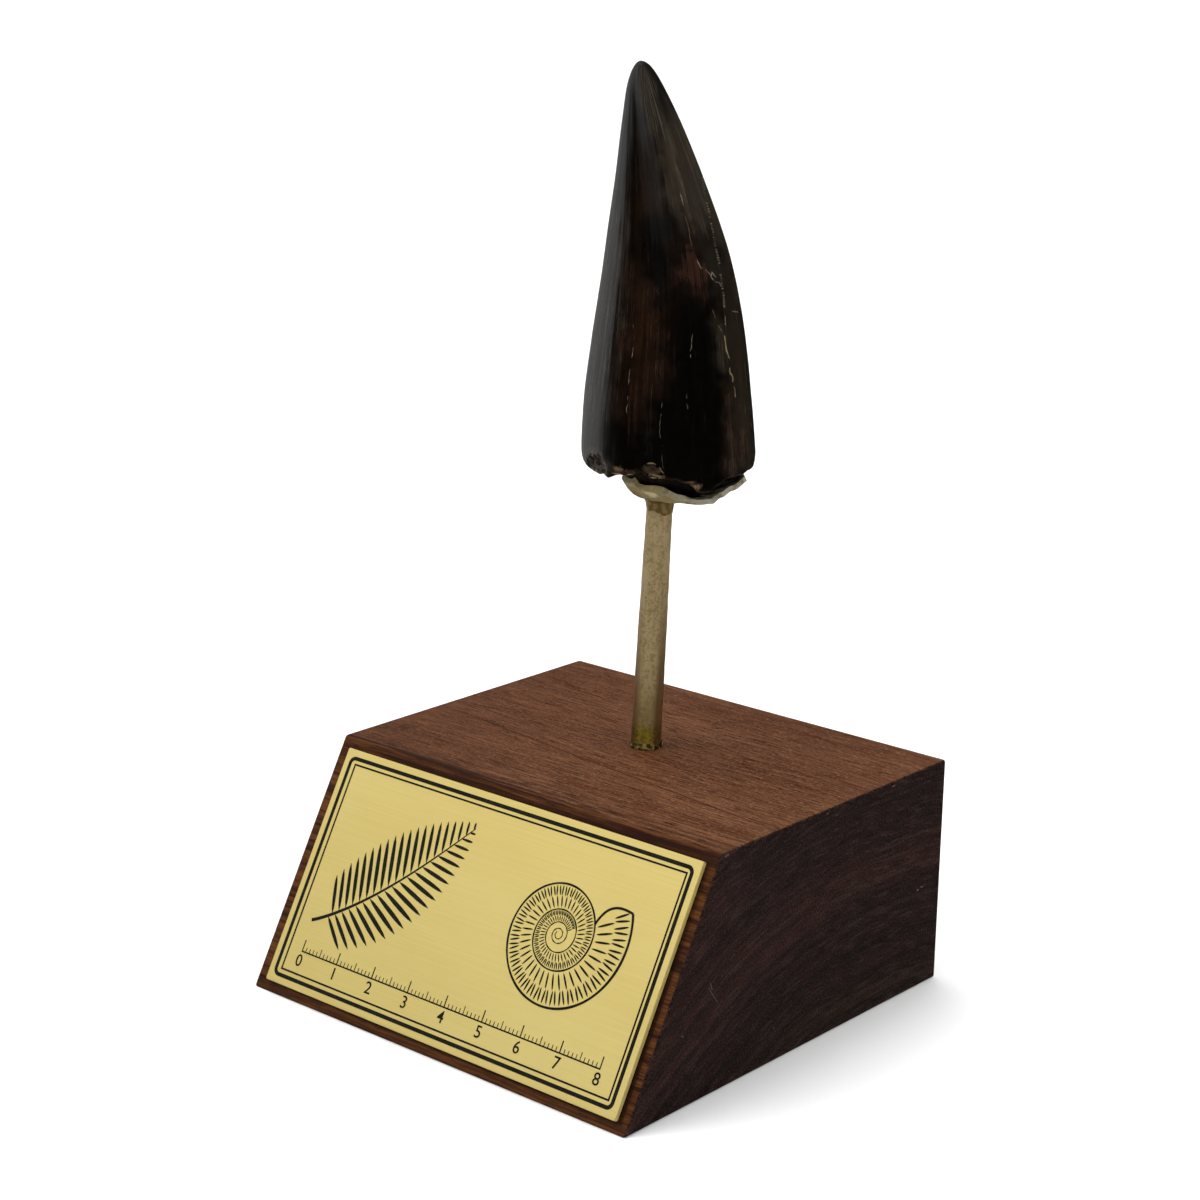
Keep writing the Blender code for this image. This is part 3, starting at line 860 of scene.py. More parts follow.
class Recipe:
    """A geometry node tree with named inputs, which turns a guide mesh into a finished mesh."""

    title = "recipe"
    sizes: tuple[tuple[str, str, Any], ...] = ()

    def __init__(self) -> None:
        """Makes the tree, its own inputs between the guide and the finish, and its ends."""
        self.group = bpy.data.node_groups.new(self.title, "GeometryNodeTree")
        self.tree = Tree(self.group)
        self.names: dict[str, str] = {}
        ends = ("Geometry", "Geometry", None), ("Finish", "Material", None)
        for name, kind, value in (ends[0], *self.sizes, ends[1]):
            socket = self.group.interface.new_socket(name, in_out="INPUT", socket_type="NodeSocket" + kind)
            self.names[name] = socket.identifier
            if value is not None:
                socket.default_value = value
        self.group.interface.new_socket("Geometry", in_out="OUTPUT", socket_type="NodeSocketGeometry")
        self.entry = self.tree.node("NodeGroupInput")
        shape = self.shape(self.entry.outputs["Geometry"])
        real = self.tree.node("GeometryNodeRealizeInstances", inputs={"Geometry": shape})
        skin = self.tree.node(
            "GeometryNodeSetMaterial",
            inputs={"Geometry": real.outputs[0], "Material": self.entry.outputs["Finish"]},
        )
        self.tree.node("NodeGroupOutput", inputs={0: skin.outputs[0]})

    def shape(self, guide: Socket) -> Socket:
        """Nodes between the guide mesh and the finished form."""
        raise NotImplementedError

    def asked(self, name: str) -> Num:
        """A named input, read inside the tree."""
        return Num(self.tree, self.entry.outputs[name])

    def field_of(self, name: str, kind: str = "FLOAT") -> Socket:
        """A named attribute, read inside the tree."""
        node = self.tree.node("GeometryNodeInputNamedAttribute", {"data_type": kind}, {"Name": name})
        return node.outputs[0]

    def scaled(self, vector: Any, by: Num) -> Socket:
        """Vector times a number."""
        node = self.tree.node("ShaderNodeVectorMath", {"operation": "SCALE"}, {0: vector, "Scale": by})
        return node.outputs[0]

    def even_curve(self, guide: Socket, spacing: str) -> Socket:
        """The guide as curves, with their points as far apart as a named input says."""
        curve = self.tree.node("GeometryNodeMeshToCurve", inputs={"Mesh": guide})
        even = self.tree.node(
            "GeometryNodeResampleCurve", {"mode": "LENGTH"},
            {"Curve": curve.outputs[0], "Length": self.asked(spacing)},
        )
        return even.outputs[0]

    def smooth(self, shape: Socket) -> Socket:
        """The shape with its faces shaded smooth."""
        return self.tree.node("GeometryNodeSetShadeSmooth", inputs={"Geometry": shape}).outputs[0]

    def run(self, name: str, guide: Mesh, finish: Material, **values: Any) -> Piece:
        """Turns a guide mesh into a plain finished piece.

        Args:
            name: the piece's name.
            guide: the mesh that the tree starts from.
            finish: the piece's material.
            values: the tree's named inputs, with underscores for spaces.

        Returns:
            The piece, without modifiers.
        """
        piece = placed(name, guide)
        modifier = piece.modifiers.new(self.title, "NODES")
        modifier.node_group = self.group
        modifier[self.names["Finish"]] = finish
        for key, value in values.items():
            modifier[self.names[key.replace("_", " ")]] = value
        mesh = evaluated_mesh(piece)
        piece.modifiers.clear()
        piece.data = mesh
        mesh.name = name
        return piece


class SweptRun(Recipe):
    """Round bar along a guide path, as thick as the guide's "girth", with an uneven skin."""

    title = "swept run"
    sizes = (
        ("Spacing", "Float", 0.001), ("Sides", "Int", 12), ("Unevenness", "Float", 0.0),
        ("Lumps per metre", "Float", 800.0),
    )

    def shape(self, guide: Socket) -> Socket:
        """Path to curve, curve to bar, and the skin moved along its normals."""
        tree = self.tree
        profile = tree.node(
            "GeometryNodeCurvePrimitiveCircle", {"mode": "RADIUS"},
            {"Resolution": self.asked("Sides"), "Radius": 1.0},
        )
        bar = tree.node(
            "GeometryNodeCurveToMesh",
            inputs={"Curve": self.even_curve(guide, "Spacing"), "Profile Curve": profile.outputs[0],
                    "Scale": self.field_of("girth"), "Fill Caps": True},
        )
        place = tree.node("GeometryNodeInputPosition").outputs[0]
        lift = (tree.noise(place, self.asked("Lumps per metre")) - 0.5) * self.asked("Unevenness")
        offset = self.scaled(tree.node("GeometryNodeInputNormal").outputs[0], lift)
        moved = tree.node("GeometryNodeSetPosition", inputs={"Geometry": bar.outputs[0], "Offset": offset})
        return self.smooth(moved.outputs[0])


class RidgeTeeth(Recipe):
    """Small rounded denticles, one after another along a guide path, standing on its "outward"."""

    title = "ridge teeth"
    sizes = (
        ("Pitch", "Float", 0.0005), ("Size", "Vector", (0.0002, 0.0003, 0.0002)),
        ("Variation", "Float", 0.2), ("Seed", "Int", 3),
    )

    def shape(self, guide: Socket) -> Socket:
        """Path to evenly spaced points, a bead on each, turned along the path."""
        tree = self.tree
        bead = tree.node("GeometryNodeMeshIcoSphere", inputs={"Radius": 1.0, "Subdivisions": 2})
        turn = tree.node(
            "FunctionNodeAxesToRotation", {"primary_axis": "Z", "secondary_axis": "X"},
            {"Primary Axis": self.field_of("outward", "FLOAT_VECTOR"),
             "Secondary Axis": tree.node("GeometryNodeInputTangent").outputs[0]},
        )
        change = tree.node(
            "FunctionNodeRandomValue", {"data_type": "FLOAT"}, {"Seed": self.asked("Seed"), 2: -1.0, 3: 1.0}
        )
        factor = 1.0 + Num(tree, change.outputs[1]) * self.asked("Variation")
        beads = tree.node(
            "GeometryNodeInstanceOnPoints",
            inputs={"Points": self.even_curve(guide, "Pitch"), "Instance": bead.outputs[0],
                    "Rotation": turn.outputs[0], "Scale": self.scaled(self.asked("Size"), factor)},
        )
        return self.smooth(beads.outputs[0])


class PlacedMarks(Recipe):
    """One mark on each point of a guide mesh, turned and stretched by the guide's attributes."""

    title = "placed marks"
    sizes = (("Mark", "Object", None),)

    def shape(self, guide: Socket) -> Socket:
        """The mark on every point, with the turn, length and width stored there."""
        tree = self.tree
        mark = tree.node(
            "GeometryNodeObjectInfo", {"transform_space": "ORIGINAL"}, {"Object": self.asked("Mark")}
        )
        points = tree.node("GeometryNodeMeshToPoints", inputs={"Mesh": guide})
        turn = tree.node(
            "FunctionNodeEulerToRotation", inputs={0: tree.join(0.0, 0.0, self.field_of("turn"))}
        )
        size = tree.join(self.field_of("length"), self.field_of("width"), 1.0)
        marks = tree.node(
            "GeometryNodeInstanceOnPoints",
            inputs={"Points": points.outputs[0], "Instance": mark.outputs["Geometry"],
                    "Rotation": turn.outputs[0], "Scale": size},
        )
        return marks.outputs[0]


def evaluated_mesh(piece: Piece) -> Mesh:
    """Plain mesh of what an object's modifiers or its text make."""
    graph = bpy.context.evaluated_depsgraph_get()
    return bpy.data.meshes.new_from_object(piece.evaluated_get(graph), depsgraph=graph)


def guide_path(name: str, runs: Sequence[Array], traits: dict[str, Sequence[Array]]) -> Mesh:
    """Mesh of open paths, with attributes on their points.

    Args:
        name: the mesh's name.
        runs: one (count, 3) array of points in mm for each path.
        traits: for each attribute, one array for each path.

    Returns:
        The mesh.
    """
    edges, start = [], 0
    for run in runs:
        edges += [(start + i, start + i + 1) for i in range(len(run) - 1)]
        start += len(run)
    mesh = make_mesh(name, np.vstack(runs), edges)
    for key, values in traits.items():
        store(mesh, key, np.concatenate(values))
    return mesh


def store(mesh: Mesh, name: str, values: Array) -> None:
    """Stores numbers or vectors on a mesh's points."""
    values = np.asarray(values, np.float32)
    kind, key = ("FLOAT_VECTOR", "vector") if values.ndim == 2 else ("FLOAT", "value")
    mesh.attributes.new(name, kind, "POINT").data.foreach_set(key, values.ravel())


# ---- the block


@dataclass
class WoodBase:
    """Hardwood block with a sloping front."""

    finish: Finish = HardwoodFinish("oiled_hardwood", (0.135, 0.052, 0.027), specular=0.1)

    def build(self) -> list[Piece]:
        """Dresses the block of the frame."""
        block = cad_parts["wood_base"]
        material = self.finish.build()
        for slot in block.material_slots:
            slot.material = material
        return [block]


# ---- the plate


@dataclass(frozen=True)
class Ammonite:
    """Coiled shell in outline; its turns are in radians, 0 at the mouth and less inwards."""

    centre: Pair = (20.5, 3.4)
    size: float = 17.2
    growth: float = 0.112
    whorls: float = 4.7
    ribbed_whorls: float = 2.0
    mouth_bearing: float = 0.5
    mouth_bow: float = 0.17
    mouth_width: float = 0.5
    rib_step: float = math.radians(9.0)
    ribs: Rows = ((0.30, 0.46, 0.0), (0.74, 0.40, 0.20), (0.74, 0.40, -0.24))

    def inner(self) -> float:
        """Size of the whorl inside another, as a share of it."""
        return math.exp(-self.growth * 2.0 * math.pi)

    def lines(self) -> list[tuple[Array, Any]]:
        """The spiral and the bowed edge of its mouth, each a path and its widths."""
        turn = np.linspace(-2.0 * math.pi * self.whorls, 0.0, 560)
        radius = self.size * np.exp(self.growth * turn)
        spiral = oval(turn + self.mouth_bearing, self.centre, (radius, radius))
        widths = 0.16 + 0.40 * np.exp(self.growth * turn) + 0.04 * np.sin(turn * 7.0)
        along = np.linspace(0.0, 1.0, 20)
        reach = self.size * (self.inner() + (1.0 - self.inner()) * along)
        bow = self.mouth_bearing + self.mouth_bow * np.sin(math.pi * along**0.8)
        return [(spiral, widths), (oval(bow, self.centre, (reach, reach)), self.mouth_width)]

    def marks(self) -> Rows:
        """Main ribs across the whorls, each forking in two outwards."""
        found = []
        angle = -0.6 * self.rib_step
        while angle > -2.0 * math.pi * self.ribbed_whorls:
            outer = self.size * math.exp(self.growth * angle)
            width = outer * (1.0 - self.inner())
            for share, long, fork in self.ribs:
                radius = outer * self.inner() + width * share
                bearing = angle + self.mouth_bearing + 0.10 * share + fork * self.rib_step
                found.append((
                    self.centre[0] + radius * math.cos(bearing),
                    self.centre[1] + radius * math.sin(bearing),
                    bearing + 0.20 * (0.5 - share) + fork * 0.35,
                    width * long,
                    0.12 + 0.34 * outer / self.size,
                ))
            angle -= self.rib_step
        return found


@dataclass(frozen=True)
class Fern:
    """Frond in outline: a bowed stalk with leaflets that shorten to its tip."""

    root: Pair = (-40.5, -10.6)
    reach: Pair = (33.0, 28.0)
    bow: float = 1.6
    pairs: int = 20
    length: float = 42.0
    first: float = 0.13
    leaflet: float = 10.0

    def lines(self) -> list[tuple[Array, Any]]:
        """The stalk, as a path and its widths."""
        along = np.linspace(0.0, 1.0, 80)
        rise = self.reach[1] * along**1.12 - self.bow * np.sin(math.pi * along)
        stalk = np.stack([self.root[0] + self.reach[0] * along, self.root[1] + rise], axis=1)
        return [(stalk, 0.72 - 0.52 * along)]

    def at(self, share: float) -> Array:
        """Point on the stalk at a share of it."""
        stalk = self.lines()[0][0]
        along = np.linspace(0.0, 1.0, len(stalk))
        return np.array([np.interp(share, along, stalk[:, axis]) for axis in (0, 1)])

    def marks(self) -> Rows:
        """Leaflets on both sides of the stalk."""
        found = []
        for i in range(self.pairs):
            share = self.first + 0.85 * i / (self.pairs - 1)
            x, y = self.at(share)
            run, climb = self.at(min(share + 0.02, 1.0)) - self.at(share - 0.02)
            heading = math.atan2(climb, run)
            length = 0.6 + self.leaflet * math.sin(math.pi * min(1.0, 0.13 + share * 0.87)) ** 0.85
            for side in (1.0, -1.0):
                lean = heading + side * math.radians(80.0 - 34.0 * share)
                shift = 0.25 * side * (self.length / self.pairs)
                found.append((
                    x + shift * math.cos(heading) + 0.52 * length * math.cos(lean),
                    y + shift * math.sin(heading) + 0.52 * length * math.sin(lean),
                    lean, length, 0.38 + 0.055 * length,
                ))
        return found


@dataclass(frozen=True)
class Ruler:
    """Graduated line with numbered centimetres and ten parts to each."""

    left: float = -40.0
    level: float = -17.2
    unit: float = 10.0
    count: int = 8
    overhang: float = 0.13
    number_drop: float = 3.1
    number_size: float = 2.6

    def lines(self) -> list[tuple[Array, Any]]:
        """The level line, as a path and its width."""
        right = self.left + self.count * self.unit + self.overhang
        return [(np.array([(self.left - self.overhang, self.level), (right, self.level)]), 0.3)]

    def marks(self) -> Rows:
        """Upright ticks, longer at the half and whole centimetres."""
        found = []
        for i in range(self.count * 10 + 1):
            tall = 2.4 if i % 10 == 0 else (1.7 if i % 5 == 0 else 1.0)
            wide = 0.26 if i % 10 == 0 else 0.17
            x = self.left + i * self.unit / 10.0
            found.append((x, self.level + tall / 2.0, math.pi / 2.0, tall, wide))
        return found


@dataclass
class NamePlate:
    """Brass plate on the slope, with an engraved border, an ammonite, a fern and a scale."""

    width: float = 94.0
    height: float = 50.0
    thickness: float = 1.0
    shift: float = 0.6
    foot: float = 2.45
    gap: float = 0.3
    corner: float = 0.4
    least_corner: float = 0.2
    edge_ease: float = 0.12
    ink_rise: float = 0.035
    ink_root: float = 0.08
    border_inset: float = 1.38
    border_width: float = 0.8
    border_corner: float = 1.15
    inner_inset: float = 2.86
    inner_width: float = 0.38
    inner_shift: Pair = (0.21, 0.07)
    ammonite: Ammonite = Ammonite()
    fern: Fern = Fern()
    ruler: Ruler = Ruler()
    brass: Finish = BrassFinish("brushed_brass_sheet", (0.875, 0.708, 0.252), 0.34, 0.6)
    ink: Finish = InkFinish("engraving_black", (0.0070, 0.0068, 0.0045), 0.6, specular=0.12)
    repeats: PlacedMarks = field(default_factory=PlacedMarks)

    def matrix(self) -> Matrix:
        """Placement of the plate's own frame, its middle at the origin and +Z out of its face."""
        slope = math.hypot(SETBACK, BLOCK_TOP)
        up = Vector((0.0, SETBACK, BLOCK_TOP)) / slope
        out = Vector((0.0, -BLOCK_TOP, SETBACK)) / slope
        foot = Vector((self.shift, -BLOCK_HALF, 0.0))
        middle = foot + up * (self.foot + self.height / 2.0) + out * (self.gap + self.thickness / 2.0)
        axes = Matrix((Vector((1, 0, 0)), up, out)).transposed().to_4x4()
        return Matrix.Translation(middle * MM) @ axes

    def rounded(self, inset: float, radius: float, steps: int) -> Array:
        """Rectangle inside the plate's edge, each corner rounded in some steps."""
        half_x, half_y = self.width / 2.0 - inset, self.height / 2.0 - inset
        points = []
        for quarter, (sx, sy) in enumerate(((1, 1), (-1, 1), (-1, -1), (1, -1))):
            for step in range(steps + 1):
                turn = math.radians(90.0 * (quarter + step / max(1, steps)))
                points.append((
                    sx * (half_x - radius) + radius * math.cos(turn),
                    sy * (half_y - radius) + radius * math.sin(turn),
                ))
        return np.array(points)

    def sheet(self) -> Piece:
        """The brass sheet with its edges eased."""
        rings = []
        half = self.thickness / 2.0
        ease = self.edge_ease
        for inset, level in ((ease, -half), (0.0, -half + ease), (0.0, half - ease),
                             (ease * 0.3, half - ease * 0.3), (ease, half)):
            flat = self.rounded(inset, max(self.corner - inset, self.least_corner), 6)
            rings.append(np.column_stack([flat, np.full(len(flat), level)]))
        mesh = outward(lofted("brass_sheet", np.array(rings)), smooth=False)
        return add_piece("brass_sheet", mesh, self.brass.build())

    def line(self, path: Array, widths: Any, closed: bool = False) -> tuple:
        """One engraved line on the plate's face."""
        face = self.thickness / 2.0
        return stroke(path, widths, face - self.ink_root, face + self.ink_rise, closed)

    def border(self) -> list[tuple]:
        """Thick outer line with round corners and thin inner line."""
        outer = self.rounded(self.border_inset + self.border_width / 2.0, self.border_corner, 8)
        inner = self.rounded(self.inner_inset + self.inner_width / 2.0, 0.0, 0) + self.inner_shift
        return [
            self.line(outer, self.border_width, closed=True),
            self.line(inner, self.inner_width, closed=True),
        ]

    def repeated(self, name: str, marks: Rows, material: Material, pointed: bool = True) -> Piece:
        """Copies of one flat mark at places on the plate.

        Args:
            name: the piece's name.
            marks: (x, y, turn in radians, length, width) of each.
            material: its material.
            pointed: whether the mark has pointed ends.

        Returns:
            The piece.
        """
        along = np.linspace(-0.5, 0.5, 9 if pointed else 2)
        half = 0.5 * np.sqrt(np.clip(1.0 - (2.0 * along) ** 2, 0.004, 1.0)) if pointed else 0.5
        path = np.stack([along, np.zeros(len(along))], axis=1)
        mark_mesh = joined("mark", [self.line(path, 2.0 * half)])
        mark_mesh.transform(Matrix.Diagonal((1.0 / MM, 1.0 / MM, 1.0, 1.0)))
        mark = add_piece("mark", mark_mesh, material)
        x, y, turns, lengths, widths = np.array(marks).T
        guide = guide_path(name + "_places", [np.column_stack([x, y, np.zeros(len(x))])], {
            "turn": [turns], "length": [lengths * MM], "width": [widths * MM],
        })
        piece = self.repeats.run(name, guide, material, Mark=mark)
        bpy.data.objects.remove(mark, do_unlink=True)
        piece.data.polygons.foreach_set("use_smooth", [False] * len(piece.data.polygons))
        return piece

    def numbers(self, material: Material) -> Piece:
        """The ruler's numbers."""
        ruler = self.ruler
        mesh = bpy.data.meshes.new("scale_numbers")
        bm = bmesh.new()
        for i in range(ruler.count + 1):
            x, y = ruler.left + i * ruler.unit, ruler.level - ruler.number_drop
            bm.from_mesh(self.number(str(i), x, y, ruler.number_size))
        bmesh.ops.remove_doubles(bm, verts=bm.verts, dist=0.000001)
        bmesh.ops.recalc_face_normals(bm, faces=bm.faces)
        bm.to_mesh(mesh)
        bm.free()
        return add_piece("scale_numbers", mesh, material)

    def number(self, text: str, x: float, y: float, size: float) -> Mesh:
        """Mesh of a plain number on the plate's face, in the plate's frame."""
        curve = bpy.data.curves.new("number", "FONT")
        curve.body = text
        curve.size = size * MM * 1.35
        curve.align_x = "CENTER"
        curve.resolution_u = 4
        curve.extrude = (self.ink_root + self.ink_rise) / 2.0 * MM
        curve.offset = 0.00002
        holder = placed("number", curve)
        mesh = evaluated_mesh(holder)
        bpy.data.objects.remove(holder, do_unlink=True)
        level = self.thickness / 2.0 + (self.ink_rise - self.ink_root) / 2.0
        mesh.transform(Matrix.Translation(Vector((x, y, level)) * MM))
        return mesh

    def engraved(self, name: str, strokes: list[tuple], material: Material) -> Piece:
        """Piece of several engraved lines."""
        return add_piece(name, joined(name, strokes), material)

    def engraving(self) -> list[Piece]:
        """Border, ammonite, fern and scale, let into the plate's face."""
        material = self.ink.build()
        pieces = [self.engraved("engraved_border", self.border(), material)]
        for drawn, lines_name, marks_name in (
            (self.ammonite, "engraved_ammonite", "engraved_ribs"),
            (self.fern, "engraved_stalk", "engraved_leaflets"),
        ):
            strokes = [self.line(*line) for line in drawn.lines()]
            pieces.append(self.engraved(lines_name, strokes, material))
            pieces.append(self.repeated(marks_name, drawn.marks(), material))
        strokes = [self.line(*line) for line in self.ruler.lines()]
        pieces.append(self.repeated("scale_ticks", self.ruler.marks(), material, pointed=False))
        pieces.append(self.engraved("scale_line", strokes, material))
        return [*pieces, self.numbers(material)]

    def build(self) -> list[Piece]:
        """The sheet and all that is engraved on it."""
        sheet = self.sheet()
        pieces = [sheet, *self.engraving()]
        for piece in pieces:
            piece.data.transform(self.matrix())
            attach(piece, BODY)
        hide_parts("name_plate")
        return pieces


# ---- rod and cradle


@dataclass
class SupportRod:
    """Thin round rod that leans a little."""

    foot: Pair = (-0.3, 14.3)
    lean: float = 2.0
    lean_azimuth: float = 39.7
    radii: Points = ((-6.0, 3.15), (0.0, 3.13), (26.0, 2.93), (48.0, 2.66), (52.3, 2.62))
    finish: Finish = BronzeFinish("mottled_bronze", (0.380, 0.290, 0.140), 0.46, 0.2)

    def axis(self, height: Array) -> Array:
        """Points on the rod's axis at heights above the block's top, along the rod."""
        height = np.asarray(height, float)
        lean = math.radians(self.lean)
        aside, rise = height * math.sin(lean), height * math.cos(lean)
        return oval(math.radians(self.lean_azimuth), self.foot, (aside, aside), BLOCK_TOP + rise)

    def radius(self, height: Array) -> Array:
        """Radius at heights along the rod."""
        return np.interp(height, *zip(*self.radii))

    def build(self, sweep: SweptRun) -> list[Piece]:
        """The rod, swept along its axis."""
        heights = np.linspace(self.radii[0][0], self.radii[-1][0], 80)
        guide = guide_path("rod_axis", [self.axis(heights)], {"girth": [self.radius(heights) * MM]})
        rod = sweep.run(
            "bronze_rod", guide, self.finish.build(), Spacing=0.0004, Sides=72,
            Unevenness=0.00018, Lumps_per_metre=420.0,
        )
        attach(rod, BODY)
        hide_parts("support_rod")
        return [rod]


@dataclass
class Cradle:
    """Shallow cast cup, opening off centre from the rod's head."""

    hub_centre: Pair = (1.1, 15.4)
    hub_radius: float = 3.3
    hub_foot: float = 100.5
    hub_floor: float = 102.7
    neck_radius: float = 2.75
    neck_drop: float = 1.9
    cup_centre: Pair = (7.2, 15.4)
    cup_half: Pair = (13.9, 10.0)
    wall: float = 0.5
    lip: float = 0.9
    belly: float = 0.45
    fold: float = 0.208
    lumps: float = 0.22
    swell: float = 0.008
    rim: Points = (
        (-180, 105.8), (-149, 105.4), (-122, 105.6), (-113, 106.3), (-106, 105.3), (-82, 105.8),
        (-64, 104.7), (-47, 103.9), (-33, 104.15), (-24, 105.35), (-10, 106.5), (15, 107.4),
        (40, 107.0), (80, 106.0), (130, 105.6), (180, 105.8),
    )
    columns: int = 220
    finish: Finish = CastFinish("pale_rough_cast", (0.232, 0.187, 0.072), 0.55, 0.1)

    def plan(self, angle: Array, inset: float = 0.0) -> Array:
        """Plan points of the rim at angles about its middle."""
        half = [size - inset for size in self.cup_half]
        return oval(np.radians(angle), self.cup_centre, half)

    def outside(self, angle: Array, share: float) -> Array:
        """Ring under the cup, from the hub at share 0 to the rim's lower edge at share 1."""
        turn = np.radians(angle)
        hub = oval(turn, self.hub_centre, (self.hub_radius, self.hub_radius))
        flat = hub * (1.0 - share) + self.plan(angle) * share
        power = 1.0 + self.belly * np.maximum(0.0, -np.cos(turn))
        top = smooth_curve(self.rim, angle) - self.lip
        return np.column_stack([flat, self.hub_foot + (top - self.hub_foot) * share**power])

    def inside(self, angle: Array, share: float) -> Array:
        """Ring in the cup, from its floor at share 0 to the rim at share 1."""
        flat = np.array(self.hub_centre) * (1.0 - share) + self.plan(angle, self.wall) * share
        top = smooth_curve(self.rim, angle)
        return np.column_stack([flat, self.hub_floor + (top - self.hub_floor) * share**2])

    def neck(self, angle: Array) -> list[Array]:
        """Rings that widen from the rod to the hub, lowest on the left."""
        rings = []
        left = np.clip(0.35 - np.cos(np.radians(angle + 12.0)), 0.0, 1.0) ** 1.5
        for drop in (1.0, 0.8, 0.6, 0.4, 0.2):
            ring = self.outside(angle, 0.0)
            flare = self.neck_radius + (self.hub_radius - self.neck_radius) * (1.0 - drop) ** 2.2
            middle = np.array(self.hub_centre)
            ring[:, :2] = middle + (ring[:, :2] - middle) * (flare / self.hub_radius)
            ring[:, 2] -= self.neck_drop * drop * left
            rings.append(ring)
        return rings

    def underneath(self, angle: Array, turns: Array) -> list[Array]:
        """Lumpy rings from the hub to the rim, with one fold in front."""
        rings = []
        uneven = Unevenness(11)
        middle = np.array(self.cup_centre)
        folded = smooth_step(-110.5, -114.0, angle) * smooth_step(-165.0, -130.0, angle)
        for share in np.linspace(0.0, 1.0, 40):
            ring = self.outside(angle, share)
            lumps = uneven.read(turns, np.full_like(turns, share), 9, 5.0, 4)
            ring[:, 2] += self.lumps * lumps * math.sin(math.pi * min(1.0, share * 1.05)) ** 0.5
            swell = 1.0 + self.swell * uneven.read(turns, np.full_like(turns, share + 2.0), 14, 3.0, 3)
            swell = swell + folded * self.fold * share * (1.0 - share)
            ring[:, :2] = middle + (ring[:, :2] - middle) * swell[:, None]
            rings.append(ring)
        return rings

    def build(self) -> list[Piece]:
        """The cup, lumpy underneath and thin at its rim."""
        angle, turns = around(self.columns)
        rings = self.neck(angle) + self.underneath(angle, turns)
        rings += [self.inside(angle, share) for share in (1.0, 0.96, 0.9, 0.8, 0.65, 0.5, 0.35, 0.2, 0.08)]
        cup = add_piece("cast_cup", lofted("cast_cup", np.array(rings)), self.finish.build())
        cup.data.set_sharp_from_angle(angle=math.radians(50.0))
        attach(cup, BODY)
        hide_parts("tooth_cradle")
        return [cup]


# ---- the tooth


@dataclass(frozen=True)
class Patch:
    """Soft-edged patch on the crown: (angle, height) middle, half sizes in mm and strength."""

    angle: float
    height: float
    half_width: float
    half_height: float
    strength: float = 1.0
    ragged: float = 0.35


@dataclass(frozen=True)
class Scoop:
    """Place where the surface has flaked or broken away."""

    angle: float
    height: float
    half_width: float
    half_height: float
    depth: float
    ragged: float = 0.22
    core: float = 0.0


class Fill(Enum):
    """Mineral in a crack."""

    OCHRE = "ochre"
    PALE = "pale"
    RUSTY = "rusty"


@dataclass(frozen=True)
class Seam:
    """Mineral-filled crack along (angle, height) points; dashes is the filled share."""

    fill: Fill
    width: float
    points: Points
    dashes: float = 1.0


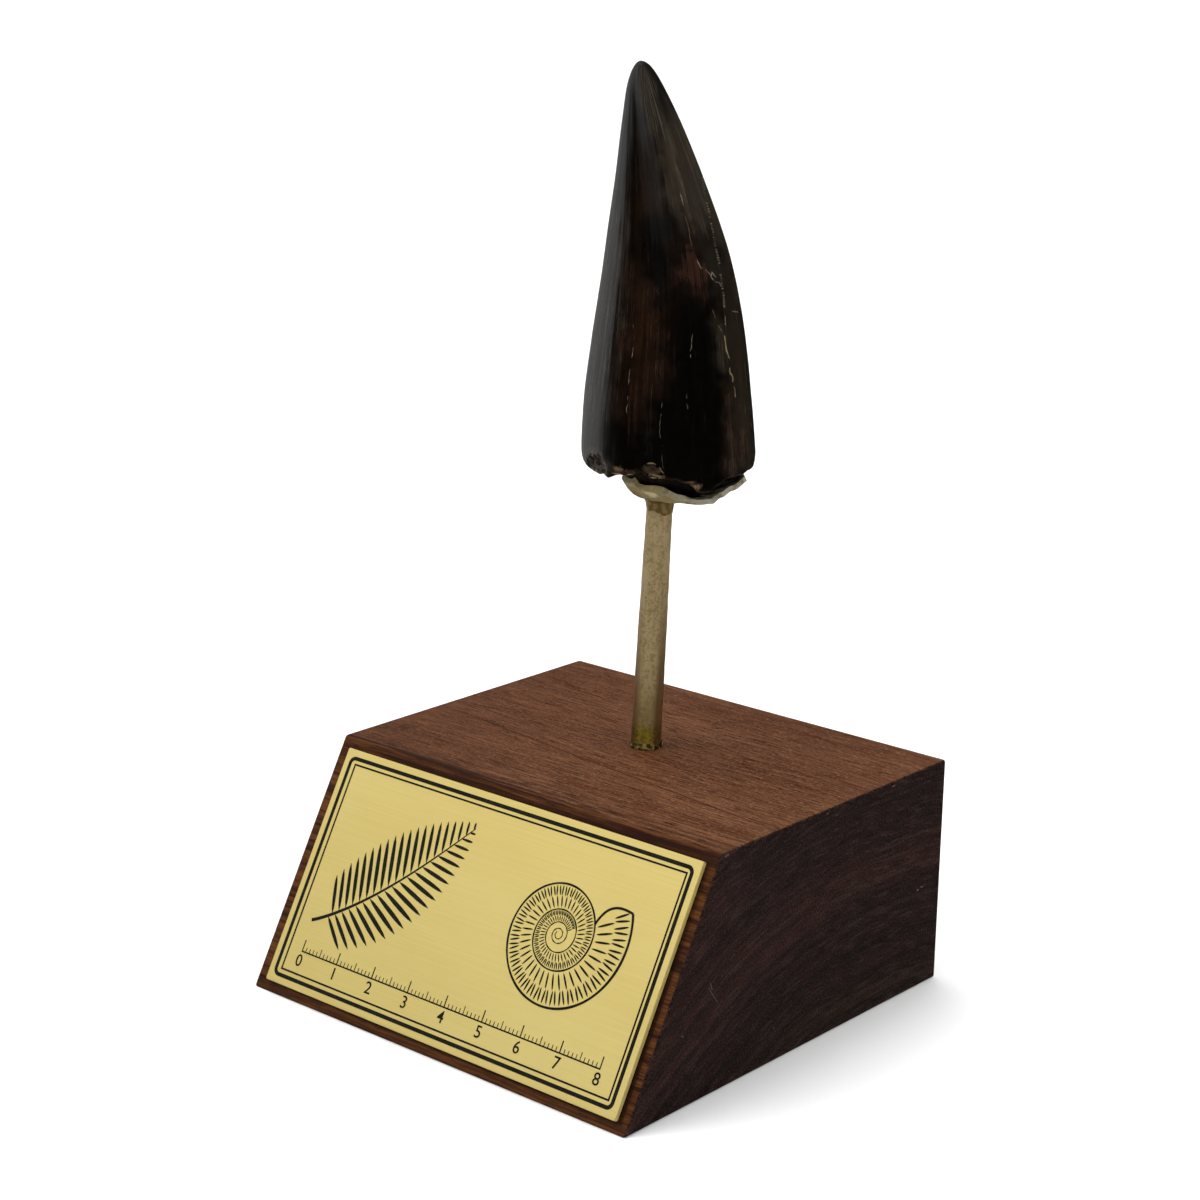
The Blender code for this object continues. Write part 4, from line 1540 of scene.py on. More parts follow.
@dataclass
class Tooth:
    """Tyrannosaur tooth crown, point up, broken at its base."""

    base: float = 106.0
    middle_y: float = 15.4
    stations: Rows = (
        (0.0, 19.8, 2.95, 0.72), (14.5, 18.6, 2.45, 0.72), (24.6, 17.35, 2.4, 0.72),
        (34.6, 15.75, 2.2, 0.72), (44.4, 13.6, 1.45, 0.72), (58.0, 9.65, -0.7, 0.77),
        (69.6, 6.05, -3.3, 0.84), (76.5, 3.5, -5.1, 0.88), (80.5, 0.0, -6.2, 0.9),
    )
    rim: Points = (
        (-180, 108.4), (-165, 108.0), (-150, 108.8), (-140, 107.3), (-128, 106.7), (-114, 106.6),
        (-110, 107.0), (-105, 106.3), (-95, 107.6), (-87, 108.2), (-81, 108.7), (-76, 108.75),
        (-72.5, 108.3), (-61, 108.3), (-54, 108.0), (-45, 107.5), (-38, 105.8), (-31, 105.6),
        (-24, 107.1), (-17, 108.0), (2, 108.5), (14, 108.9), (29, 109.0), (48, 108.6), (70, 108.0),
        (95, 107.4), (120, 108.2), (145, 107.5), (165, 108.3), (180, 108.4),
    )
    underside: Points = (
        (-180, 107.2), (-110, 106.9), (-93, 107.0), (-80, 107.9), (-60, 107.7), (-50, 106.9),
        (-33, 106.2), (-15, 107.6), (10, 108.4), (35, 108.3), (70, 107.3), (120, 107.0), (180, 107.2),
    )
    underside_middle: float = 107.3
    underside_reach: float = 0.82
    underside_lumps: float = 0.25
    underside_height: float = -2.0
    rim_level: float = 1.5
    rim_fade: float = 14.0
    chips: float = 0.30
    edge_steps: Points = (
        (0.0, 1.1), (0.2, 0.82), (0.45, 0.55), (0.8, 0.32), (1.3, 0.14), (1.9, 0.05), (2.6, 0.0)
    )
    columns: int = 400
    rows: int = 205
    mesial: Points = (
        (0, -10), (34, -10.2), (37, -9.2), (40.4, -8.6), (44, -6.3), (46.5, -6.2), (50.8, -2.6),
        (54.1, 1.6), (58, 12), (80.5, 20),
    )
    distal: Points = ((0, 172), (40, 176), (80.5, 178))
    mesial_teeth: Points = (
        (35.6, 38.2), (38.9, 41.6), (43.6, 46.2), (46.8, 51.0), (52.0, 54.6), (57.0, 59.2)
    )
    distal_teeth: Pair = (6.0, 78.0)
    carina_height: float = 0.28
    carina_width: float = 0.5
    waves: float = 0.16
    ripples: float = 0.035
    grain_radius: float = 17.0
    seam_girth: float = 15.0
    seam_step: float = 0.12
    seam_drift: float = 0.55
    shortest_run: int = 4
    scoops: Sequence[Scoop] = (
        Scoop(-37.5, 45.6, 0.8, 1.0, 0.28, 0.2), Scoop(-36.5, 41.5, 2.4, 3.6, 0.08, 0.4),
        Scoop(-124.5, 1.9, 0.7, 0.9, 1.0, 0.2, 0.2), Scoop(-120.5, 2.9, 0.8, 1.05, 1.5, 0.25, 0.05),
        Scoop(-115.2, 3.0, 0.9, 1.2, 1.7, 0.25, 0.05), Scoop(-110.2, 3.0, 0.8, 1.1, 1.5, 0.25, 0.05),
        Scoop(-106.5, 1.8, 0.65, 0.85, 1.0, 0.25, 0.1), Scoop(-94.0, 2.75, 1.15, 0.55, 0.35, 0.2, 0.7),
        Scoop(-86.5, 2.45, 1.9, 0.38, 0.30, 0.25, 0.22), Scoop(-69.5, 3.8, 1.9, 1.15, 0.7, 0.2, 0.22),
        Scoop(-42.8, 1.3, 1.9, 0.85, 0.40, 0.18, 0.9), Scoop(35, 2.5, 4.0, 3.0, 0.7, 0.3, 0.9),
        Scoop(60, 30.0, 3.0, 8.0, 0.25, 0.3), Scoop(118, 2.0, 6.0, 3.0, 0.8, 0.3, 0.9),
        Scoop(150, 22.0, 2.2, 5.0, 0.25, 0.3), Scoop(165, 3.0, 3.0, 2.6, 0.7, 0.3, 0.8),
    )
    patches: Sequence[tuple[Trait, Sequence[Patch]]] = (
        (Trait.UMBER, (
            Patch(-95, 46, 4.2, 12.0, 0.9), Patch(-78, 54, 5.4, 8.0, 1.0), Patch(-82, 27, 6.4, 16.0, 0.95),
            Patch(-60, 60, 6.0, 9.0, 0.5), Patch(5, 22, 6.0, 24.0, 1.0), Patch(70, 30, 14.0, 26.0, 0.9),
            Patch(140, 40, 12.0, 20.0, 0.8), Patch(-67, 46, 5.0, 6.4, -0.95), Patch(-36, 45, 5.0, 9.0, 0.6),
        )),
        (Trait.OLIVE, (
            Patch(-14, 60, 5.6, 13.5, 0.85, 0.2), Patch(-52, 75, 2.6, 5.0, 0.35, 0.15),
            Patch(4, 22, 7.0, 30.0, 0.42), Patch(40, 54, 9.0, 20.0, 0.8),
            Patch(-113.5, 2.7, 5.2, 2.4, 0.8, 0.4), Patch(-120.5, 2.9, 0.8, 1.05, -1.0, 0.1),
            Patch(-115.2, 3.0, 0.9, 1.2, -1.0, 0.1), Patch(-110.2, 3.0, 0.8, 1.1, -1.0, 0.1),
        )),
        (Trait.RUST, (
            Patch(-36.5, 41.0, 3.1, 5.0, 0.9, 0.45), Patch(-37.5, 46.6, 0.9, 0.5, 1.0, 0.3),
            Patch(-10, 10.0, 3.0, 9.0, 0.5, 0.45), Patch(-82, 30, 6.0, 16.0, 0.22, 0.6),
            Patch(100, 20, 10.0, 12.0, 0.4, 0.6),
        )),
        # The first patch here, a tall strip on the left flank, is a painted highlight band; the others are
        # wear near the tip.
        (Trait.WEAR, (
            Patch(-124, 26.0, 6.5, 30.0, 0.24, 0.2), Patch(-48, 73.5, 2.0, 7.0, 0.26, 0.35),
            Patch(-38, 70.0, 0.6, 6.0, 0.34, 0.4), Patch(-30, 60.0, 0.8, 8.0, 0.16, 0.5),
        )),
    )
    bare_edge: Points = (
        (-180, 0.3), (-128, 0.2), (-122, 0.3), (-109, 0.3), (-104, 0.0), (-98, 0.0), (-96, 0.4),
        (-88, 0.25), (-82, 0.0), (-72, 0.0), (-71.5, 1.0), (-61.5, 1.0), (-61, 0.0), (-48, 0.0),
        (-46, 0.5), (-39, 0.5), (-37, 0.0), (0, 0.0), (60, 0.2), (120, 0.3), (180, 0.3),
    )
    seams: Sequence[Seam] = (
        Seam(Fill.RUSTY, 0.13, ((-22.7, 35.7), (-19.6, 33.2), (-17.2, 31.7), (-12.6, 30.1)), 0.7),
        Seam(Fill.OCHRE, 0.30, ((-12.8, 30.6), (-12.2, 29.3), (-11.9, 27.2), (-9.0, 25.4),
             (-10.1, 23.1), (-7.6, 21.9), (-8.2, 20.6)), 0.9),
        Seam(Fill.OCHRE, 0.20, ((-8.2, 20.6), (-5.9, 19.6), (-6.3, 18.3), (-3.1, 17.2),
             (-1.0, 15.8)), 0.75),
        Seam(Fill.PALE, 0.14, ((-9.4, 37.6), (-9.9, 35.3), (-10.4, 33.3), (-10.8, 31.0)), 0.8),
        Seam(Fill.PALE, 0.13, ((-34.0, 57.2), (-33.4, 55.2), (-33.0, 53.8)), 0.9),
        Seam(Fill.RUSTY, 0.12, ((-33.6, 52.8), (-33.2, 50.0), (-34.0, 46.2))),
        Seam(Fill.RUSTY, 0.17, ((-36.2, 46.1), (-34.0, 45.9), (-31.8, 46.1))),
        Seam(Fill.PALE, 0.16, ((-30.6, 44.9), (-28.5, 42.9), (-24.4, 42.6), (-20.2, 41.8),
             (-18.6, 41.2), (-17.1, 42.1), (-14.0, 41.0), (-11.2, 41.4))),
        Seam(Fill.PALE, 0.13, ((-20.4, 41.5), (-16.0, 40.3), (-10.4, 40.0), (-9.0, 38.8))),
        Seam(Fill.PALE, 0.08, ((-87.9, 32.2), (-86.6, 29.0), (-86.1, 27.3), (-86.3, 25.5),
             (-87.6, 22.2), (-87.3, 19.8), (-87.5, 17.2), (-87.8, 13.4)), 0.55),
        Seam(Fill.PALE, 0.04, ((-62.4, 25.4), (-62.9, 23.0), (-63.1, 15.1), (-64.4, 11.2),
             (-62.4, 8.9), (-63.0, 6.8), (-61.5, 3.8)), 0.55),
        Seam(Fill.OCHRE, 0.42, ((-73.6, 4.75), (-71.4, 5.05), (-68.1, 5.2), (-65.8, 4.85))),
        Seam(Fill.OCHRE, 0.26, ((-65.8, 4.85), (-63.8, 4.2), (-62.0, 3.3)), 0.9),
        Seam(Fill.PALE, 0.34, ((-71.2, 2.35), (-68.6, 2.3), (-65.5, 2.38), (-61.2, 2.35))),
        Seam(Fill.OCHRE, 0.20, ((-98.5, 1.75), (-94.0, 1.85), (-88.0, 2.0), (-82.5, 2.3)), 0.75),
        Seam(Fill.PALE, 0.07, ((-40.7, 30.9), (-41.5, 29.2), (-43.3, 27.1), (-42.9, 26.3),
             (-43.4, 24.5)), 0.8),
        Seam(Fill.PALE, 0.06, ((-45.6, 19.4), (-45.9, 17.5), (-45.0, 15.8)), 0.8),
        Seam(Fill.PALE, 0.10, ((-4.0, 34.9), (3.0, 34.3), (14.1, 33.9)), 0.7),
        Seam(Fill.RUSTY, 0.10, ((120.0, 52.0), (124.0, 40.0), (121.0, 27.0), (127.0, 16.0)), 0.7),
        Seam(Fill.OCHRE, 0.14, ((72.0, 44.0), (76.0, 34.0), (73.0, 22.0), (80.0, 12.0)), 0.7),
    )
    finish: Finish = EnamelFinish("fossil_enamel", (0.0013, 0.0009, 0.0005), 0.22, specular=0.39)

    def section(self, height: Array) -> tuple[Array, Array, Array]:
        """Half length, middle along X and half thickness at heights above the base."""
        stations = np.array(self.stations, float)[::-1]
        tallest = stations[0, 0]
        knots = np.sqrt(1.0 - stations[:, 0] / tallest)
        x = np.sqrt(np.maximum(0.0, 1.0 - np.asarray(height, float) / tallest))
        last = len(knots) - 1
        k = np.clip(np.searchsorted(knots, x, side="right") - 1, 0, last - 1)
        index = np.arange(len(knots))
        low, high = np.maximum(index - 1, 0), np.minimum(index + 1, last)
        span = knots[k + 1] - knots[k]
        s = (x - knots[k]) / span
        found = []
        for column in (1, 2, 3):
            value = stations[:, column]
            slope = (value[high] - value[low]) / (knots[high] - knots[low])
            found.append(
                value[k] * (1 + 2 * s) * (1 - s) ** 2 + slope[k] * span * s * (1 - s) ** 2
                + value[k + 1] * s * s * (3 - 2 * s) + slope[k + 1] * span * s * s * (s - 1)
            )
        half, centre, ratio = found
        return half, centre, half * ratio

    def foot(self) -> tuple[float, float, float]:
        """Half length, middle along X and half thickness at the base."""
        return tuple(value.item() for value in self.section(np.zeros(1)))

    def girth(self, half: Array, thick: Array) -> Array:
        """Mean radius of a section, never quite nothing."""
        return np.maximum(0.3, (half + thick) / 2.0)

    def reach(self, angle: Array, height: Array, girth: Array, spot: Union[Patch, Scoop]) -> Array:
        """Distance from a spot's middle, where 1 is its edge, with a ragged outline."""
        across = np.radians(wrap_degrees(angle - spot.angle)) * girth / spot.half_width
        up = (height - spot.height) / spot.half_height
        seed = int(abs(spot.angle) * 7 + spot.height * 3)
        rough = Unevenness(seed).read(angle / 360.0 + 0.5, height, 26, 0.35, 4)
        return np.hypot(across, up) + spot.ragged * rough

    def from_carina(self, carina: Points, angle: Array, height: Array, girth: Array) -> Array:
        """Distance round the crown from one of its ridges."""
        return np.radians(wrap_degrees(angle - smooth_curve(carina, height))) * girth

    def relief(self, angle: Array, height: Array, girth: Array) -> Array:
        """Inward offset of the surface: flaked places and waves, less the carinae."""
        turns = angle / 360.0 + 0.5
        offset = np.zeros(np.broadcast(angle, height).shape)
        for scoop in self.scoops:
            inside = smooth_step(1.06, 0.80, self.reach(angle, height, girth, scoop))
            floor = 0.78 + 0.22 * Unevenness(91).read(turns, height, 60, 0.9, 3)
            offset += scoop.depth * inside * floor
        for carina in (self.mesial, self.distal):
            away = self.from_carina(carina, angle, height, girth)
            ridge = self.carina_height * np.minimum(1.0, girth / 8.0) * smooth_step(24.0, 38.0, height)
            offset -= ridge * np.exp(-np.abs(away / self.carina_width) ** 1.5)
        body = np.minimum(1.0, girth / 7.0)
        offset += self.waves * body * Unevenness(5).read(turns, height, 7, 0.05, 3)
        offset += self.ripples * body * Unevenness(6).read(turns, height, 64, 0.06, 2)
        return offset

    def surface(self, angle: Array, z: Array, inset: float = 0.0) -> Array:
        """Points of the crown's surface at angles from +X and heights z."""
        height = np.clip(z - self.base, 0.0, self.stations[-1][0])
        half, centre, thick = self.section(height)
        turn = np.radians(angle)
        girth = self.girth(half, thick)
        shrink = 1.0 - np.minimum(0.9, (inset + self.relief(angle, height, girth)) / girth)
        return oval(turn, (centre, self.middle_y), (half * shrink, thick * shrink), z)

    def level_ring(self, level: float, angle: Array) -> Array:
        """Heights of a ring at a level above the broken edge, whose unevenness fades upwards."""
        tall = self.stations[-1][0]
        fade = max(0.0, 1.0 - level / self.rim_fade)
        nominal = self.base + self.rim_level + level * (tall - self.rim_level) / tall
        chips = self.chips * Unevenness(21).read(angle / 360.0 + 0.5, np.zeros_like(angle), 34, 1.0, 4)
        edge = smooth_curve(self.rim, angle) + chips * fade**3
        return nominal + (edge - self.base - self.rim_level) * fade

    def underside_ring(self, share: float, angle: Array) -> Array:
        """Ring on the broken underside at a share of the wall's half sizes."""
        half, centre, thick = self.foot()
        turn = np.radians(angle)
        out = share / self.underside_reach
        z = smooth_curve(self.underside, angle) * out + self.underside_middle * (1.0 - out)
        uneven = Unevenness(31).read(angle / 360.0 + 0.5, np.full_like(angle, share), 24, 9.0, 4)
        z = z + self.underside_lumps * out * uneven
        return oval(turn, (centre, self.middle_y), (half * share, thick * share), z)

    def traits(self, angle: Array, height: Array) -> dict[Trait, Array]:
        """Amounts of each trait over the crown."""
        half, _, thick = self.section(np.clip(height, 0.0, self.stations[-1][0]))
        girth = self.girth(half, thick)
        found = {trait: np.zeros(angle.shape) for trait in Trait}
        for trait, patches in self.patches:
            for patch in patches:
                inside = smooth_step(1.25, 0.45, self.reach(angle, height, girth, patch))
                if patch.strength < 0:
                    found[trait] = found[trait] * (1.0 + inside * patch.strength)
                else:
                    found[trait] = np.maximum(found[trait], inside * patch.strength)
        for scoop in self.scoops:
            inside = smooth_step(1.02, 0.84, self.reach(angle, height, girth, scoop))
            found[Trait.CORE] = np.maximum(found[Trait.CORE], inside * scoop.core)
        for carina in (self.mesial, self.distal):
            away = self.from_carina(carina, angle, height, girth)
            worn = 0.12 * smooth_step(30.0, 40.0, height) * np.exp(-((away / 0.35) ** 2))
            found[Trait.WEAR] = np.maximum(found[Trait.WEAR], worn)
        return found

    def crown(self) -> Piece:
        """The whole tooth as one closed mesh, with its grain and traits stored on it."""
        angle, _ = around(self.columns)
        rings, heights, bare = [], [], []
        for share in (0.04, 0.1, 0.18, 0.27, 0.36, 0.45, 0.54, 0.62, 0.69, 0.75, self.underside_reach):
            rings.append(self.underside_ring(share, angle))
            heights.append(np.full_like(angle, self.underside_height))
            bare.append(np.zeros_like(angle))
        tall = self.stations[-1][0]
        start = self.edge_steps[-1][0]
        levels = list(self.edge_steps)
        for row in range(1, self.rows + 1):
            left = (1.0 - row / (self.rows + 0.6)) ** 1.5
            levels.append((tall - (tall - start) * left, 0.0))
        share = np.interp(angle, *zip(*self.bare_edge))
        for level, inset in levels:
            z = self.level_ring(level, angle)
            rings.append(self.surface(angle, z, inset))
            heights.append(z - self.base)
            bare.append(smooth_step(0.75, 0.35, level) * smooth_step(0.0, 0.15, level) * share)
        mesh = lofted("tooth_crown", np.array(rings))
        around_crown, height = np.tile(angle, len(rings)), np.concatenate(heights)
        found = self.traits(around_crown, height)
        found[Trait.CORE] = np.maximum(found[Trait.CORE], np.concatenate(bare))
        grain = oval(np.radians(around_crown), (0.0, 0.0), (self.grain_radius, self.grain_radius), height)
        ends = np.array([[0.0, 0.0, self.underside_height], [0.0, 0.0, tall]])
        store(mesh, "grain", np.vstack([grain, ends]) * MM)
        for trait, values in found.items():
            store(mesh, trait.value, np.concatenate([values, [0.0, 0.0]]))
        return add_piece("tooth_crown", mesh, self.finish.build())

    def track(self, points: Points, sink: float, seed: int) -> Array:
        """Fine path over the surface through (angle, height) points.

        Args:
            points: the path's corners.
            sink: how deep the path lies under the surface, in mm.
            seed: for its small wanderings.

        Returns:
            The path's points in mm, one seam_step apart.
        """
        corners = np.array(points, float)
        steps = np.hypot(np.radians(np.diff(corners[:, 0])) * self.seam_girth, np.diff(corners[:, 1]))
        reached = np.concatenate([[0.0], np.cumsum(steps)])
        at = np.linspace(0.0, reached[-1], max(4, int(reached[-1] / self.seam_step)))
        drift = Unevenness(seed).read(at / 400.0, np.zeros_like(at), 512, 1.0, 2)
        angle = np.interp(at, reached, corners[:, 0]) + self.seam_drift * drift
        return self.surface(angle, np.interp(at, reached, corners[:, 1]) + self.base, sink)

    def filled(self, seam: Seam, number: int) -> tuple[list[Array], list[Array]]:
        """Filled runs of one crack.

        Args:
            seam: the crack.
            number: its place in the list, for its seeds.

        Returns:
            The points of each run in mm, and the girths there in metres.
        """
        path = self.track(seam.points, seam.width * 0.22, 40 + number)
        at = np.arange(len(path)) * self.seam_step
        flat = np.zeros_like(at)
        swell = 1.0 + 0.35 * Unevenness(70 + number).read(at / 300.0, flat, 256, 1.0, 2)
        ends = np.minimum(1.0, np.minimum(at, at[::-1]) / 0.9) ** 0.6
        filling = Unevenness(90 + number).read(at / 300.0, flat, 200, 1.0, 2)
        keep = filling < np.quantile(filling, seam.dashes)
        changes = np.flatnonzero(np.diff(np.concatenate([[False], keep, [False]]).astype(int)))
        runs, girths = [], []
        for first, end in changes.reshape(-1, 2):
            if end - first < self.shortest_run:
                continue
            size = seam.width / 2.0 * swell[first:end] * np.maximum(ends[first:end], 0.25)
            count = np.arange(len(size))
            taper = np.minimum(1.0, (np.minimum(count, count[::-1]) + 1) / 4.0)
            runs.append(path[first:end])
            girths.append(size * taper * MM)
        return runs, girths

    def seam_pieces(self, sweep: SweptRun) -> list[Piece]:
        """Mineral in the cracks, one piece for each mineral."""
        finishes = {
            Fill.OCHRE: FillFinish("crack_ochre", (0.205, 0.155, 0.080), 0.8),
            Fill.PALE: FillFinish("crack_pale", (0.240, 0.200, 0.140), 0.75, shade=(0.09, 0.07, 0.045)),
            Fill.RUSTY: FillFinish("crack_rust", (0.105, 0.055, 0.030), 0.75, shade=(0.05, 0.024, 0.013)),
        }
        pieces = []
        for fill, finish in finishes.items():
            runs, girths = [], []
            for number, seam in enumerate(self.seams):
                if seam.fill is fill:
                    found = self.filled(seam, number)
                    runs += found[0]
                    girths += found[1]
            guide = guide_path("seam_paths_" + fill.value, runs, {"girth": girths})
            pieces.append(sweep.run(
                "crack_fill_" + fill.value, guide, finish.build(), Spacing=0.00014, Sides=8,
                Unevenness=0.00005, Lumps_per_metre=2500.0,
            ))
        return pieces

    def denticles(self, material: Material) -> Piece:
        """Row of fine serrations along each carina."""
        runs, outs = [], []
        for carina, low, high in (
            *((self.mesial, *span) for span in self.mesial_teeth), (self.distal, *self.distal_teeth)
        ):
            heights = np.arange(low, high, 0.5)
            angle, z = smooth_curve(carina, heights), heights + self.base
            runs.append(self.surface(angle, z, 0.05))
            outs.append(self.surface(angle, z, -1.0) - self.surface(angle, z, 0.0))
        guide = guide_path("carina_paths", runs, {"outward": outs})
        return RidgeTeeth().run(
            "carina_denticles", guide, material, Pitch=0.00050, Size=(0.00017, 0.00028, 0.00020),
            Variation=0.22, Seed=7,
        )

    def build(self, sweep: SweptRun) -> list[Piece]:
        """Crown, denticles and filled cracks."""
        crown = self.crown()
        ridge = FillFinish("worn_serrations", (0.105, 0.084, 0.058), 0.5, shade=(0.022, 0.015, 0.010))
        pieces = [crown, self.denticles(ridge.build()), *self.seam_pieces(sweep)]
        for piece in pieces:
            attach(piece, BODY)
        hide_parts("tooth")
        return pieces


# ---- putty and glue


@dataclass
class PuttyBed:
    """Black putty between the cup and the tooth's underside."""

    inset: float = 0.75
    inset_lumps: float = 0.25
    floor_inset: float = 2.4
    squeezed_reach: float = 0.915
    squeezed_drop: float = 0.22
    clearance: float = 0.12
    rim_rise: float = 0.3
    edge: Points = ((1.0, 0.75), (0.985, 0.35), (0.95, 0.12))
    roof: Sequence[float] = (0.88, 0.75, 0.6, 0.4, 0.2, 0.06)
    columns: int = 200
    finish: Finish = PuttyFinish("black_putty", (0.0022, 0.0020, 0.0018), 0.65, specular=0.12)

    def squeezed(self, cradle: Cradle, tooth: Tooth, angle: Array) -> Array:
        """Ring of putty pressed out in front, as far as the tooth's lower edge."""
        half, centre, thick = tooth.foot()
        long, wide = half * self.squeezed_reach, thick * self.squeezed_reach
        along, across = np.cos(np.radians(angle)), np.sin(np.radians(angle))
        aside = cradle.cup_centre[0] - centre
        a = (along / long) ** 2 + (across / wide) ** 2
        b = aside * along / long**2
        c = (aside / long) ** 2 - 1.0
        out = (-b + np.sqrt(b * b - a * c)) / a
        x, y = cradle.cup_centre[0] + out * along, cradle.cup_centre[1] + out * across
        turn = np.degrees(np.arctan2((y - tooth.middle_y) / thick, (x - centre) / half))
        lip = np.column_stack([x, y, smooth_curve(tooth.rim, turn) - self.squeezed_drop])
        edge = smooth_curve(cradle.rim, angle) + self.rim_rise
        rim = np.column_stack([cradle.plan(angle, self.inset), edge])
        share = smooth_step(-92.0, -82.0, turn) * smooth_step(2.0, -8.0, turn)
        return rim + (lip - rim) * share[:, None]

    def roof_ring(self, tooth: Tooth, plan: Array, drop: float) -> Array:
        """Ring just under the tooth's underside at plan points, lowered by a drop."""
        half, centre, thick = tooth.foot()
        along, across = (plan[:, 0] - centre) / half, (plan[:, 1] - tooth.middle_y) / thick
        out = np.minimum(1.0, np.hypot(along, across) / tooth.underside_reach)
        under = smooth_curve(tooth.underside, np.degrees(np.arctan2(across, along)))
        roof = tooth.underside_middle + (under - tooth.underside_middle) * out
        return np.column_stack([plan, roof - self.clearance - drop])

    def build(self, cradle: Cradle, tooth: Tooth) -> list[Piece]:
        """The bed, from the cup's floor to the tooth."""
        angle, turns = around(self.columns)
        floor = 1.0 - self.floor_inset / cradle.cup_half[1]
        rings = []
        for share in np.linspace(0.05, floor, 10):
            rings.append(cradle.inside(angle, share) + (0.0, 0.0, self.clearance))
        rings.append(self.squeezed(cradle, tooth, angle))
        middle = np.array(cradle.cup_centre)
        lumps = Unevenness(51).read(turns, np.zeros_like(turns), 16, 1.0, 3)
        for share, drop in (*self.edge, *((share, 0.0) for share in self.roof)):
            plan = middle * (1 - share) + cradle.plan(angle) * share
            if share > 0.5:
                inset = self.inset - self.inset_lumps * lumps * (share > 0.9)
                away = plan - middle
                plan = middle + away * (1.0 - inset / np.hypot(*away.T))[:, None]
            rings.append(self.roof_ring(tooth, plan, drop))
        bed = add_piece("putty_pad", lofted("putty_pad", np.array(rings)), self.finish.build())
        bed.data.set_sharp_from_angle(angle=math.radians(60.0))
        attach(bed, BODY)
        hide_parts("putty_bed")
        return [bed]


@dataclass(frozen=True)
class GlueRing:
    """Lumpy ring of glue that thins out along the rod.

    Its thick end is at the height low above the block's top. It is tall long on average and
    wide thick, and uneven says how much its size varies round the rod.
    """

    name: str
    low: float
    tall: float
    wide: float
    uneven: float
    seed: int
    finish: Finish
    direction: float = 1.0
    columns: int = 120
    profile: Points = (
        (-0.35, 0.0), (0.7, 0.0), (1.0, 0.08), (0.95, 0.25), (0.75, 0.5), (0.5, 0.75), (0.2, 0.95),
        (-0.35, 1.0),
    )

    def build(self, rod: SupportRod) -> Piece:
        """The ring round the rod that it clings to."""
        angle, turns = around(self.columns)
        turn = np.radians(angle)
        swell = 1.0 + self.uneven * Unevenness(self.seed).read(turns, np.zeros_like(turns), 7, 1.0, 4)
        swell = np.clip(swell, 0.25, 1.9)
        rings = []
        for out, up in self.profile:
            rise = self.low + self.direction * up * self.tall * swell
            centre = rod.axis(rise)
            radius = rod.radius(rise) + self.wide * out * (0.5 + 0.5 * swell)
            rings.append(oval(turn, centre.T, (radius, radius), centre[:, 2]))
        piece = add_piece(self.name, lofted(self.name, np.array(rings), wrap=True), self.finish.build())
        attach(piece, BODY)
        return piece


@dataclass
class GlueRuns:
    """Runs of glue round the rod, at the block and under the cup."""

    foot: GlueRing = GlueRing(
        "foot_glue", 0.0, 1.05, 0.36, 0.75, 61,
        GlueFinish("dark_amber_glue", (0.024, 0.011, 0.001), specular=0.15),
    )
    head: GlueRing = GlueRing(
        "head_glue", 52.4, 2.3, 0.30, 0.45, 62,
        GlueFinish("amber_glue", (0.092, 0.050, 0.008), 0.3, cloud=(0.165, 0.108, 0.030)), direction=-1.0,
    )

    def build(self, rod: SupportRod) -> list[Piece]:
        """Both runs."""
        foot = self.foot.build(rod)
        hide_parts("glue_collar")
        head = self.head.build(rod)
        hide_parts("glue_fillet")
        return [foot, head]


# ---- studio


@dataclass(frozen=True)
class SoftLight:
    """Rectangular soft light, aimed at a point."""

    name: str
    place: Place
    aim: Place
    size: Pair
    power: float
    colour: Colour = (1.0, 1.0, 1.0)

    def build(self) -> None:
        """Adds the light, itself unseen by the camera and in reflections."""
        light = bpy.data.lights.new(self.name, "AREA")
        light.shape = "RECTANGLE"
        light.size, light.size_y = self.size
        light.energy = self.power
        light.color = self.colour
        lamp = placed(self.name, light)
        lamp.location = self.place
        lamp.rotation_euler = (Vector(self.aim) - Vector(self.place)).to_track_quat("-Z", "Y").to_euler()
        lamp.visible_camera = False
        lamp.visible_glossy = False


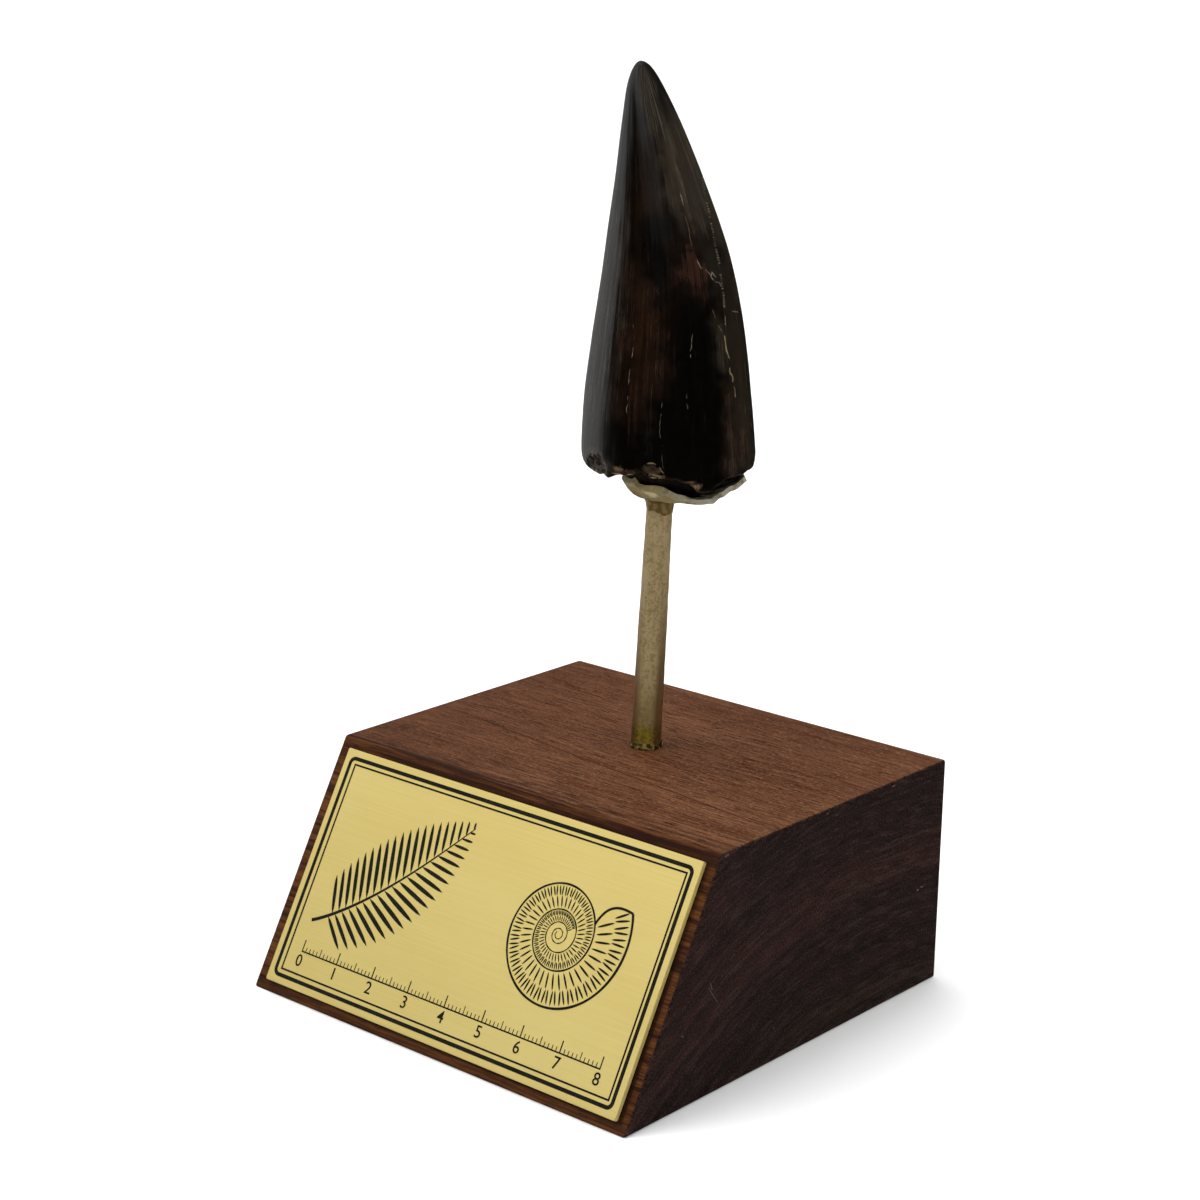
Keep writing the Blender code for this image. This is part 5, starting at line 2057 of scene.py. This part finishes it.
@dataclass
class Studio:
    """Pale floor that sweeps up all round, soft lights, and the camera."""

    camera_place: Place = (0.33633, -0.39188, 0.22774)
    azimuth: float = 40.7258
    elevation: float = 15.7529
    roll: float = 0.9672
    lens: float = 80.922
    reach: float = 1.7
    bend: float = 0.5
    rise: float = 0.9
    columns: int = 128
    card_edge: float = -153.0
    card_end: float = 112.0
    lights: Sequence[SoftLight] = (
        SoftLight("top_softbox", (-0.25, -0.15, 1.15), (0.0, 0.0, 0.05), (0.9, 0.9), 8.0),
        SoftLight("front_softbox", (-0.70, -0.70, 0.70), (0.0, -0.03, 0.05), (0.7, 0.5), 2.5),
        SoftLight("back_softbox", (-0.40, 0.60, 1.10), (-0.50, 1.20, 0.30), (0.9, 0.5), 6.0),
        SoftLight("round_softbox", (0.0, 0.0, 1.9), (0.0, 0.0, 0.0), (2.2, 2.2), 15.0),
        SoftLight("right_softbox", (0.95, 0.30, 0.75), (0.05, 0.0, 0.0), (0.9, 0.9), 3.2),
    )

    def floor(self) -> None:
        """Floor and sweep as one round sheet, left out of reflections."""
        angle = np.radians(np.linspace(-180.0, 180.0, self.columns, endpoint=False))
        flat = self.reach - self.bend
        profile = [(radius, 0.0) for radius in np.linspace(0.02, flat, 12)]
        for turn in np.radians(np.linspace(0.0, 90.0, 13)[1:]):
            profile.append((flat + self.bend * math.sin(turn), self.bend * (1.0 - math.cos(turn))))
        profile.append((self.reach, self.bend + self.rise))
        rows = [oval(angle, (0.0, 0.0), (radius, radius), up) for radius, up in profile]
        grid = np.arange(len(rows) * self.columns).reshape(len(rows), self.columns)
        low, high = grid[:-1], grid[1:]
        quads = np.stack([low, high, np.roll(high, -1, 1), np.roll(low, -1, 1)], -1)
        mesh = bpy.data.meshes.new("studio_floor")
        mesh.from_pydata(np.vstack(rows).tolist(), [], quads.reshape(-1, 4).tolist() + [grid[0].tolist()])
        mesh.polygons.foreach_set("use_smooth", [True] * len(mesh.polygons))
        finish = Finish("pale_floor", (0.93, 0.93, 0.93), 0.9, specular=0.0)
        floor = add_piece("studio_floor", mesh, finish.build())
        floor.visible_glossy = False

    def world(self) -> None:
        """Surroundings that polished surfaces mirror: a card at the left and a bright upper left."""
        world = bpy.data.worlds.new("studio")
        bpy.context.scene.world = world
        world.use_nodes = True
        tree = Tree(world.node_tree)
        backdrop = world.node_tree.nodes["Background"]
        direction = tree.node("ShaderNodeTexCoord").outputs["Generated"]
        x, y, z = tree.split(direction)
        edge, end = math.radians(self.card_edge), math.radians(self.card_end)
        past_edge = x * math.sin(edge) - y * math.cos(edge)
        before_end = y * math.cos(end) - x * math.sin(end)
        card = past_edge.ramp(-0.03, 0.05) * before_end.ramp(-0.10, 0.30) * (0.84 - past_edge * 0.68)
        card = card * z.ramp(-0.75, -0.45)
        glow = 0.40 + (x + z * 1.3).ramp(-0.30, 0.0) * 0.45
        upper = z.ramp(0.25, 0.40) * ((x * -0.71 - y * 0.71).ramp(0.35, 0.85) * glow).most(0.06)
        light = (card.most(upper) + 0.010).least(1.3)
        tree.feed(backdrop.inputs["Color"], tree.join(light, light, light))
        backdrop.inputs["Strength"].default_value = 1.0

    def camera(self) -> None:
        """The camera, from its place, angles and lens."""
        data = bpy.data.cameras.new("studio_camera")
        data.lens = self.lens
        data.sensor_width = 36.0
        data.clip_start = 0.01
        camera = placed("studio_camera", data)
        azimuth, elevation = math.radians(self.azimuth), math.radians(self.elevation)
        roll = math.radians(self.roll)
        level = math.cos(elevation)
        back = Vector((math.sin(azimuth) * level, -math.cos(azimuth) * level, math.sin(elevation)))
        across = Vector((0.0, 0.0, 1.0)).cross(back).normalized()
        upright = back.cross(across)
        right = across * math.cos(roll) + upright * math.sin(roll)
        up = upright * math.cos(roll) - across * math.sin(roll)
        turned = Matrix((right, up, back)).transposed().to_4x4()
        camera.matrix_world = Matrix.Translation(self.camera_place) @ turned
        bpy.context.scene.camera = camera

    def build(self) -> None:
        """Sets up floor, surroundings, lights and camera."""
        bpy.context.scene.view_settings.view_transform = "Standard"
        self.floor()
        self.world()
        for light in self.lights:
            light.build()
        self.camera()


def main() -> None:
    """Builds every assembly in order and reports its pieces."""
    logging.basicConfig(level=logging.INFO, format="%(name)s: %(message)s")
    sweep = SweptRun()
    rod, cradle, tooth = SupportRod(), Cradle(), Tooth()
    assemblies = {
        "block": WoodBase().build(),
        "plate": NamePlate().build(),
        "rod": rod.build(sweep),
        "cradle": cradle.build(),
        "putty": PuttyBed().build(cradle, tooth),
        "tooth": tooth.build(sweep),
        "glue": GlueRuns().build(rod),
    }
    for title, pieces in assemblies.items():
        for piece in pieces:
            LOG.info("%s: %s, %d faces", title, piece.name, len(piece.data.polygons))
    Studio().build()


if __name__ == "__main__":
    main()
